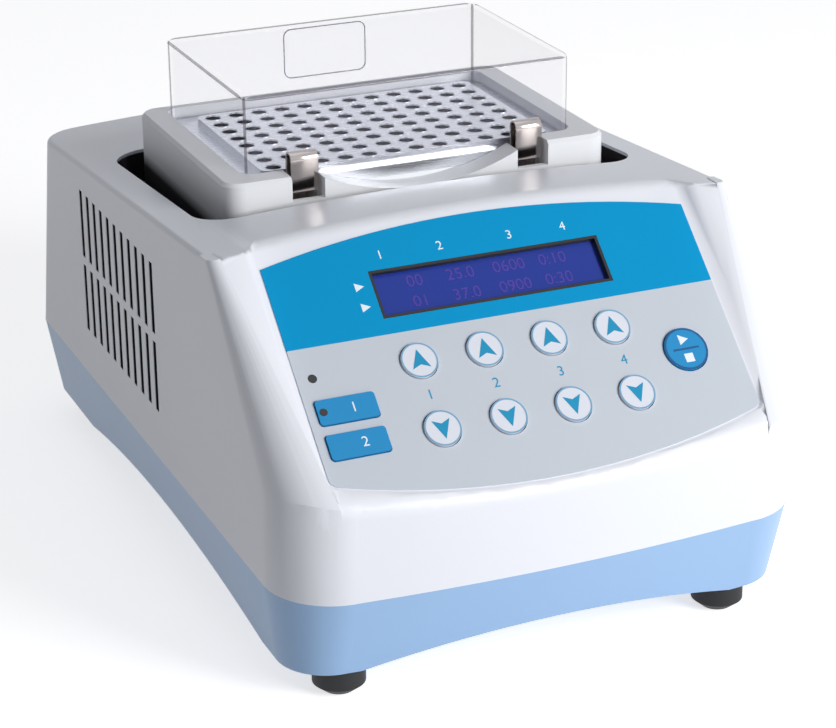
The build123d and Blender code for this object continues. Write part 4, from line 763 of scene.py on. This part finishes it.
@dataclass
class KeyPad:
    """Marks on the keys and on the film round them, with painted shading on the keys' rims."""

    bench: Workbench
    pitch: float = 23.4 * MM
    columns: int = 4
    up_row: float = -44.2 * MM
    down_row: float = -69.0 * MM
    numeral_row: float = -56.6 * MM
    key_radius: float = 6.3 * MM
    ring_inner: float = 5.75 * MM
    arrow_tip: float = 3.9 * MM
    arrow_half: float = 3.2 * MM
    arrow_back: float = -3.0 * MM
    arrow_notch: float = -1.6 * MM
    numeral_size: float = 5.0 * MM
    start: tuple[float, float] = (58.1 * MM, -56.9 * MM)
    start_radius: float = 7.8 * MM
    start_inner: float = 7.1 * MM
    start_bar: tuple[float, float] = (9.6 * MM, 0.7 * MM)
    start_arrow: tuple[tuple[float, float], ...] = ((-1.5 * MM, 1.6 * MM), (1.9 * MM, 3.5 * MM),
                                                    (-1.5 * MM, 5.4 * MM))
    stop_side: float = 3.2 * MM
    stop_row: float = -3.4 * MM
    mode_x: float = -61.8 * MM
    mode_rows: tuple[float, float] = (-56.4 * MM, -68.8 * MM)
    mode_dot: float = 1.3 * MM
    mode_dot_x: float = -72.2 * MM
    mode_dot_height: float = 0.16 * MM

    def build(self) -> None:
        """Mark every key."""
        for column in range(self.columns):
            x = self.column_x(column)
            self.arrow_key(f"up_{column + 1}", x, self.up_row, Way.UP)
            self.arrow_key(f"down_{column + 1}", x, self.down_row, Way.DOWN)
        self.numerals()
        self.start_key()
        self.mode_keys()

    def column_x(self, column: int) -> float:
        """Give a column's place across the panel."""
        return (column - (self.columns - 1) / 2) * self.pitch

    def arrow_key(self, label: str, x: float, up: float, way: Way) -> None:
        """Put a ring of painted rim shading and a notched arrow on a round key.

        Args:
            label: The key's own part of its node's name.
            x: Where the key is across the panel.
            up: Where it is up the slope.
            way: Which way its arrow points.
        """
        place = panel_place(x, up, KEY_TOP + PRINT_LIFT)
        ring = self.bench.ring(self.key_radius - PRINT_LIFT, self.ring_inner)
        self.bench.mark(ring, f"key_rim_shading_{label}", RIM_SHADING_BLUE, f"key_{label}_body", "key_white", place)
        arrow = self.bench.dart([(0.0, self.arrow_tip), (-self.arrow_half, self.arrow_back),
                                 (0.0, self.arrow_notch), (self.arrow_half, self.arrow_back)])
        self.bench.shift(arrow, 0.0, 0.0, turn=way.value)
        self.bench.mark(arrow, f"key_arrow_{label}", MARK_TEAL, f"key_{label}_body", "key_blue", place)

    def numerals(self) -> None:
        """Number the columns, between the two rows of keys."""
        signs = [self.bench.shift(self.bench.text(str(column + 1), self.numeral_size),
                                  self.column_x(column), 0.0) for column in range(self.columns)]
        self.bench.mark(self.bench.join(signs), "column_numerals", MARK_TEAL, "case", "panel_film",
                        panel_place(0.0, self.numeral_row, FILM_TOP + PRINT_LIFT), smooth=False)

    def start_key(self) -> None:
        """Give the start key its ring of painted rim shading, its bar, triangle and square."""
        place = panel_place(*self.start, KEY_TOP + PRINT_LIFT)
        rim = self.bench.ring(self.start_radius - PRINT_LIFT, self.start_inner)
        self.bench.mark(rim, "start_key_rim_shading", START_RIM, "key_start_body", "key_blue", place)
        bar = self.bench.plate(*self.start_bar)
        self.bench.mark(bar, "start_key_bar", START_RIM, "key_start_body", "key_blue", place)
        go = self.bench.dart(self.start_arrow)
        stop = self.bench.shift(self.bench.plate(self.stop_side, self.stop_side), 0.0, self.stop_row)
        self.bench.mark(self.bench.join([go, stop]), "start_key_signs", MARK_WHITE, "key_start_body",
                        "key_white", place, smooth=False)

    def mode_keys(self) -> None:
        """Number the two mode keys, and put the upper one's lamp on it."""
        for number, up in enumerate(self.mode_rows, start=1):
            sign = self.bench.text(str(number), self.numeral_size)
            self.bench.mark(sign, f"mode_numeral_{number}", MARK_WHITE, f"key_mode_{number}_body",
                            "key_white", panel_place(self.mode_x, up, KEY_TOP + PRINT_LIFT), smooth=False)
        dot = self.bench.thicken(self.bench.disc(self.mode_dot, 32), self.mode_dot_height)
        self.bench.settle(dot, "mode_lamp", LAMP_BLACK, "key_mode_1_body", "dark_plastic",
                          panel_place(self.mode_dot_x, self.mode_rows[0], KEY_TOP + PRINT_LIFT))


@dataclass
class Display:
    """The window's black liner, which stands for the shade in its cut-out, its characters and the signs
    printed round it.
    """

    bench: Workbench
    half_width: float = 42.0 * MM
    low: float = -27.3 * MM
    high: float = -9.4 * MM
    glass_depth: float = -1.6 * MM
    gasket_width: float = 1.0 * MM
    rows: tuple[tuple[str, float], ...] = (("00     25.0    0600   0:10", -14.6 * MM),
                                           ("01     37.0    0900   0:30", -22.2 * MM))
    row_size: float = 6.0 * MM
    heading_row: float = -4.2 * MM
    heading_size: float = 4.6 * MM
    headings: tuple[tuple[str, float], ...] = (("1", -36.0 * MM), ("2", -14.5 * MM), ("3", 11.0 * MM),
                                               ("4", 31.0 * MM))
    pointer_x: float = -46.5 * MM
    pointer_side: float = 1.6 * MM
    gap: float = 0.05 * MM

    def build(self) -> None:
        """Build all that belongs to the display."""
        self.gasket()
        self.characters()
        self.headings_and_pointers()

    def gasket(self) -> None:
        """Line the window's cut-out with a black frame, as painted shade on its walls."""
        height = self.high - self.low
        frame_piece = self.bench.plate(2 * (self.half_width - self.gap), height - 2 * self.gap)
        self.bench.hollow(self.gasket_width)
        bottom = self.glass_depth + 2 * self.gap
        self.bench.thicken(frame_piece, FILM_TOP - self.gap - bottom)
        self.bench.settle(frame_piece, "display_shade_liner", SHADE_LINER_BLACK, "case", "dark_plastic",
                          panel_place(0.0, (self.low + self.high) / 2, bottom), smooth=False)

    def characters(self) -> None:
        """Put two rows of plain figures behind the glass."""
        rows = [self.bench.shift(self.bench.text(words, self.row_size), 0.0, up)
                for words, up in self.rows]
        self.bench.mark(self.bench.join(rows), "display_figures", DISPLAY_DOTS, "case", "display",
                        panel_place(0.0, 0.0, self.glass_depth + PRINT_LIFT), smooth=False)

    def headings_and_pointers(self) -> None:
        """Print a figure over each column and a pointer beside each row."""
        signs = [self.bench.shift(self.bench.text(words, self.heading_size), x, self.heading_row)
                 for words, x in self.headings]
        side = self.pointer_side
        for _, up in self.rows:
            pointer = self.bench.dart([(-side, -side), (side, 0.0), (-side, side)])
            signs.append(self.bench.shift(pointer, self.pointer_x, up))
        self.bench.mark(self.bench.join(signs), "display_signs", MARK_WHITE, "case", "key_white",
                        panel_place(0.0, 0.0, FILM_TOP + PRINT_LIFT), smooth=False)


# ---- housing
@dataclass
class Housing:
    """The moulded housing, with the rounded shoulders that run down beside the panel."""

    bench: Workbench
    angle: float = math.radians(44.3)
    start_y: float = -144.5 * MM
    start_z: float = 72.53 * MM
    low_end: float = -22.0 * MM
    high_end: float = 108.0 * MM
    rounding: float = 96.0 * MM
    brow_radius: float = 3.0 * MM
    chin_radius: float = 18.0 * MM
    half_width: float = 95.0 * MM
    overlap: float = 0.6 * MM
    fill_depth: float = 7.0 * MM
    clear: float = 6.0 * MM
    corner: float = 24.0 * MM
    shoulder_y: float = -143.5 * MM
    inner_x: float = 60.0 * MM
    inner_y: float = -144.5 * MM
    rear_y: float = 0.0
    floor_z: float = 45.0 * MM
    top_z: float = 122.0 * MM
    top_y: float = 125.9 * MM
    top_rise: float = 0.0766
    top_fall: float = 0.083
    round_steps: int = 12
    plan_steps: int = 16

    def build(self) -> None:
        """Fill the corners beside the panel and round them off, in a copy of the housing."""
        piece = self.bench.copy_node("top_housing")
        for hand in (-1, 1):
            filler = self.loft(hand, self.fill_section)
            self.combine(filler, self.corner_block(hand), "INTERSECT")
            self.combine(piece, filler, "UNION")
            self.combine(piece, self.loft(hand, self.round_section), "DIFFERENCE")
        self.bench.settle(piece, "housing_shell", HOUSING_WHITE, "case", "housing")
        even = piece.modifiers.new("even_shading", "WEIGHTED_NORMAL")
        even.keep_sharp = True
        even.weight = 100
        bpy.ops.object.modifier_apply(modifier=even.name)
        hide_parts("top_housing")

    def radius(self, along: float) -> float:
        """Give the shoulder's radius at a place up the slope."""
        return self.brow_radius + (self.chin_radius - self.brow_radius) * (1 - along / self.rounding)

    def fill_section(self, radius: float) -> list[tuple[float, float]]:
        """Give the filler's corners, as the distance from the middle and the depth under the slope."""
        inner = self.half_width - radius - self.overlap
        outer = self.half_width + MM
        return [(inner, 0.0), (outer, 0.0), (outer, self.fill_depth), (inner, self.fill_depth)]

    def round_section(self, radius: float) -> list[tuple[float, float]]:
        """Give the corners of what is cut away outside the rounding."""
        turns = [math.radians(90 * step / self.round_steps) for step in range(self.round_steps + 1)]
        arc = [(self.half_width - radius + radius * math.sin(turn), radius - radius * math.cos(turn))
               for turn in turns]
        outer = self.half_width + self.clear
        return arc + [(outer, radius), (outer, -self.clear), (self.half_width - radius, -self.clear)]

    def loft(self, hand: int, section: Callable[[float], list[tuple[float, float]]]) -> Piece:
        """Make a solid between a section at the slope's lower end and one at its upper end.

        Args:
            hand: -1 for the left side, 1 for the right.
            section: Gives a section's corners from the shoulder's radius.

        Returns:
            The solid, in its place.
        """
        ends = [(end, section(self.radius(end))) for end in (self.low_end, self.high_end)]
        count = len(ends[0][1])
        piece = self.bench.prism(count)
        upward = (math.cos(self.angle), math.sin(self.angle))
        for row, (along, corners) in enumerate(ends):
            for index, (x, depth) in enumerate(corners):
                y = self.start_y + upward[0] * along + upward[1] * depth
                z = self.start_z + upward[1] * along - upward[0] * depth
                piece.data.vertices[row * count + index].co = (hand * x, y, z)
        return self.bench.face_outwards(piece)

    def corner_block(self, hand: int) -> Piece:
        """Make the block of the case's front corner, up to its sloping top."""
        middle = self.half_width - self.corner
        plan = [(self.inner_x, self.rear_y), (self.half_width, self.rear_y)]
        for step in range(self.plan_steps + 1):
            turn = math.radians(90 * step / self.plan_steps)
            plan.append((middle + self.corner * math.cos(turn),
                         self.shoulder_y + self.corner - self.corner * math.sin(turn)))
        plan.append((self.inner_x, self.inner_y))
        piece = self.bench.prism(len(plan))
        for index, (x, y) in enumerate(plan):
            top = self.top_z + (self.top_y - y) * self.top_rise + (self.half_width - x) * self.top_fall
            piece.data.vertices[index].co = (hand * x, y, self.floor_z)
            piece.data.vertices[len(plan) + index].co = (hand * x, y, top)
        return self.bench.face_outwards(piece)

    def combine(self, piece: Piece, other: Piece, how: str) -> None:
        """Join, cut or trim a piece with another, and remove the other."""
        self.bench.activate(piece)
        change = piece.modifiers.new("combine", "BOOLEAN")
        change.operation = how
        change.object = other
        change.solver = "EXACT"
        bpy.ops.object.modifier_apply(modifier=change.name)
        bpy.data.objects.remove(other)


# ---- block and cover
@dataclass
class Cover:
    """The clear cover, with its rounded edges and the pad on its back wall."""

    bench: Workbench
    wall: float = 1.8 * MM
    corner: float = 5.0 * MM
    edge: float = 1.4 * MM
    pad_width: float = 33.0 * MM
    pad_height: float = 19.0 * MM
    pad_corner: float = 3.0 * MM
    pad_line: float = 0.35 * MM
    pad_thick: float = 0.3 * MM
    pad_gap: float = 0.02 * MM

    def build(self) -> None:
        """Build the shell and the pad's outline."""
        self.shell()
        self.pad()

    def shell(self) -> None:
        """Mould the cover: a box with round corners and edges, open below."""
        low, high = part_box("clear_cover")
        self.bench.clear()
        middle = [(a + b) / 2 for a, b in zip(low, high)]
        bpy.ops.mesh.primitive_cube_add(size=1.0, location=middle)
        piece = bpy.context.object
        piece.scale = [b - a for a, b in zip(low, high)]
        bpy.ops.object.transform_apply(location=True, scale=True)
        self.select_edges(piece, upright=True, height=0.0)
        bpy.ops.mesh.bevel(offset=self.corner, offset_type="OFFSET", segments=8, affect="EDGES")
        self.select_edges(piece, upright=False, height=high[2])
        bpy.ops.mesh.bevel(offset=self.edge, offset_type="OFFSET", segments=4, affect="EDGES")
        bpy.ops.mesh.select_mode(type="FACE")
        bpy.ops.mesh.select_all(action="DESELECT")
        bpy.ops.object.mode_set(mode="OBJECT")
        for face in piece.data.polygons:
            face.select = face.center.z < low[2] + LEVEL_GAP
        bpy.ops.object.mode_set(mode="EDIT")
        bpy.ops.mesh.delete(type="FACE")
        bpy.ops.object.mode_set(mode="OBJECT")
        self.bench.thicken(piece, self.wall, offset=-1.0)
        self.bench.settle(piece, "cover_shell", COVER_CLEAR, "cover", "clear_cover")
        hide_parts("clear_cover")

    @staticmethod
    def select_edges(piece: Piece, upright: bool, height: float) -> None:
        """Select the upright edges, or the level edges at a height, and go into edit mode."""
        bpy.ops.object.mode_set(mode="EDIT")
        bpy.ops.mesh.select_mode(type="EDGE")
        bpy.ops.mesh.select_all(action="DESELECT")
        bpy.ops.object.mode_set(mode="OBJECT")
        points = piece.data.vertices
        for edge in piece.data.edges:
            first, second = (points[index].co for index in edge.vertices)
            stands = abs(first.z - second.z) > MM
            at_height = max(abs(first.z - height), abs(second.z - height)) < LEVEL_GAP
            edge.select = stands if upright else at_height
        bpy.ops.object.mode_set(mode="EDIT")

    def pad(self) -> None:
        """Draw the pad's raised outline inside the back wall."""
        low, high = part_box("clear_cover")
        outline = self.bench.plate(self.pad_width, self.pad_height, self.pad_corner)
        self.bench.hollow(self.pad_line)
        self.bench.thicken(outline, self.pad_thick)
        place = Matrix.Translation((0.0, high[1] - self.wall - self.pad_gap,
                                    high[2] - self.wall - self.pad_height / 2))
        self.bench.settle(outline, "cover_pad_outline", PAD_EDGE, "cover", "clear_cover",
                          place @ Matrix.Rotation(math.radians(90), 4, "X"))


@dataclass
class Wells:
    """The countersunk mouths of the block's wells."""

    bench: Workbench
    pitch: float = 9.0 * MM
    columns: int = 12
    rows: int = 8
    middle_y: float = 16.0 * MM
    rim_radius: float = 3.5 * MM
    mouth_radius: float = 3.1 * MM
    bore_radius: float = 2.8 * MM
    sink: float = 0.4 * MM
    depth: float = 17.0 * MM
    sides: int = 24
    skin: float = 0.08 * MM

    def build(self) -> None:
        """Model one mouth and its bore, then repeat it over the grid."""
        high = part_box("heating_block")[1]
        piece = self.bench.disc(self.bore_radius, self.sides)
        self.bench.shift(piece, 0.0, 0.0, -self.depth)
        with editing():
            self.grow((0.0, 0.0, self.depth - self.sink), 1.0)
            self.grow((0.0, 0.0, self.sink), self.mouth_radius / self.bore_radius)
            self.grow((0.0, 0.0, 0.0), self.rim_radius / self.mouth_radius)
        self.bench.thicken(piece, self.skin, offset=-1.0)
        for count, direction in ((self.columns, (1.0, 0.0, 0.0)), (self.rows, (0.0, 1.0, 0.0))):
            row = piece.modifiers.new("row", "ARRAY")
            row.use_relative_offset = False
            row.use_constant_offset = True
            row.count = count
            row.constant_offset_displace = [self.pitch * part for part in direction]
            bpy.ops.object.modifier_apply(modifier=row.name)
        start = Matrix.Translation((-(self.columns - 1) / 2 * self.pitch,
                                    self.middle_y - (self.rows - 1) / 2 * self.pitch,
                                    high[2] + self.skin + PRINT_LIFT))
        self.bench.settle(piece, "well_mouths", WELL_METAL, "carriage", "aluminium", start)

    @staticmethod
    def grow(step: Point, scale: float) -> None:
        """Extrude the open edge of a tube, and widen it.

        Args:
            step: How far the new edge goes.
            scale: How much wider it is than the last.
        """
        bpy.ops.mesh.select_mode(type="EDGE")
        bpy.ops.mesh.select_all(action="DESELECT")
        bpy.ops.mesh.select_non_manifold(extend=False)
        bpy.ops.mesh.extrude_edges_move(TRANSFORM_OT_translate={"value": step})
        bpy.ops.transform.resize(value=(scale, scale, 1.0))


@dataclass
class SoftEdges:
    """Copies of small hard-edged nodes with their sharp edges broken."""

    bench: Workbench
    nodes: tuple[tuple[str, str], ...] = (("clip_left", "clip_left_body"),
                                          ("clip_right", "clip_right_body"))
    width: float = 0.12 * MM
    flat_angle: float = math.radians(2)
    sharp_angle: float = math.radians(35)

    def build(self) -> None:
        """Make a softened copy of each node and let it stand for the node."""
        for name, body in self.nodes:
            piece = self.bench.copy_node(name)
            with editing():
                bpy.ops.mesh.dissolve_limited(angle_limit=self.flat_angle)
            bevel = piece.modifiers.new("edge", "BEVEL")
            bevel.width = self.width
            bevel.segments = 2
            bevel.limit_method = "ANGLE"
            bevel.angle_limit = self.sharp_angle
            bpy.ops.object.modifier_apply(modifier=bevel.name)
            self.bench.settle(piece, f"{name}_spring", CLIP_STEEL, body, "clip_chrome")
            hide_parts(name)


# ---- studio
@dataclass
class Studio:
    """Camera, lamps, world and floor."""

    place: Point = (-0.3372, -0.8087, 0.4225)
    yaw: float = 23.3
    pitch: float = 22.7
    roll: float = -0.51
    lens: float = 110.0
    floor_half: float = 4.0
    fill: float = 0.20
    floor_glow: float = 0.68
    sensor: float = 36.0
    clip_end: float = 20.0
    aim: Point = (0.0, 0.0, 0.08)
    lamps: tuple[tuple[str, Point, float, float], ...] = (("key_lamp", (0.66, -1.16, 0.56), 0.6, 15.5),
                                                          ("top_lamp", (0.1, 0.1, 2.0), 1.4, 2.0))
    sky: Colour = (0.93, 0.95, 1.0)
    floor_colour: Colour = (0.82, 0.82, 0.83)

    def build(self) -> None:
        """Build everything that isn't the object."""
        self.camera()
        self.world()
        self.floor()
        for name, place, size, power in self.lamps:
            self.lamp(name, place, size, power)

    def camera(self) -> None:
        """Stand the camera in front of the panel, to the left and above."""
        turn = (Matrix.Rotation(math.radians(-self.yaw), 3, "Z")
                @ Matrix.Rotation(math.radians(90 - self.pitch), 3, "X")
                @ Matrix.Rotation(math.radians(self.roll), 3, "Z"))
        bpy.ops.object.camera_add(location=self.place, rotation=turn.to_euler())
        camera = bpy.context.object
        camera.data.lens = self.lens
        camera.data.sensor_width = self.sensor
        camera.data.clip_end = self.clip_end
        bpy.context.scene.camera = camera

    def world(self) -> None:
        """An even pale surround, white where the camera looks past the floor."""
        world = bpy.data.worlds.new("studio")
        world.use_nodes = True
        bpy.context.scene.world = world
        sheet = NodeSheet(world.node_tree)
        back = world.node_tree.nodes["Background"]
        back.inputs["Color"].default_value = (*self.sky, 1.0)
        shown = sheet.math("MULTIPLY", self.seen(sheet), 1.0 - self.fill)
        sheet.link(sheet.math("ADD", shown, self.fill), back.inputs["Strength"])

    @staticmethod
    def seen(sheet: NodeSheet) -> Socket:
        """Give 1 for rays that see a surface, directly, in a reflection or through clear plastic."""
        rays = sheet.add("LightPath")
        indirect = sheet.math("MAXIMUM", rays.outputs["Is Glossy Ray"],
                              rays.outputs["Is Transmission Ray"])
        return sheet.math("MAXIMUM", rays.outputs["Is Camera Ray"], indirect)

    def floor(self) -> None:
        """A white sweep that keeps the object's shadow."""
        bpy.ops.mesh.primitive_plane_add(size=2 * self.floor_half)
        floor = bpy.context.object
        floor.name = "floor"
        made = bpy.data.materials.new("floor_white")
        made.use_nodes = True
        sheet = NodeSheet(made.node_tree)
        shader = made.node_tree.nodes["Principled BSDF"]
        shader.inputs["Base Color"].default_value = (*self.floor_colour, 1.0)
        shader.inputs["Roughness"].default_value = 0.9
        shader.inputs["Specular IOR Level"].default_value = 0.1
        glow = sheet.add("Emission", Color=(1.0, 1.0, 1.0, 1.0), Strength=self.floor_glow)
        both = sheet.add("AddShader")
        choose = sheet.add("MixShader")
        output = made.node_tree.nodes["Material Output"]
        sheet.link(shader.outputs["BSDF"], both.inputs[0])
        sheet.link(glow.outputs["Emission"], both.inputs[1])
        sheet.link(self.seen(sheet), choose.inputs["Fac"])
        sheet.link(shader.outputs["BSDF"], choose.inputs[1])
        sheet.link(both.outputs["Shader"], choose.inputs[2])
        sheet.link(choose.outputs["Shader"], output.inputs["Surface"])
        floor.data.materials.append(made)

    def lamp(self, name: str, place: Sequence[float], size: float, power: float) -> None:
        """Add a square soft lamp that looks at the object.

        Args:
            name: The lamp's name.
            place: Where it stands.
            size: Its side.
            power: Its power in watts.
        """
        turn = (Vector(self.aim) - Vector(place)).to_track_quat("-Z", "Y").to_euler()
        bpy.ops.object.light_add(type="AREA", location=place, rotation=turn)
        lamp = bpy.context.object
        lamp.name = name
        lamp.data.energy = power
        lamp.data.size = size


def main() -> None:
    """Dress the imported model, add the finer pieces and stand it in the studio."""
    logging.basicConfig(level=logging.INFO, format="%(message)s")
    bpy.context.scene.view_settings.view_transform = "Standard"
    Studio().build()
    wardrobe = Wardrobe()
    for name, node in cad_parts.items():
        wardrobe.dress(node, NODE_FINISH[name])
    bench = Workbench(wardrobe)
    for group in (Housing, KeyPad, Display, Cover, Wells, SoftEdges):
        group(bench).build()
        LOG.info("built %s", group.__name__)


if __name__ == "__main__":
    main()
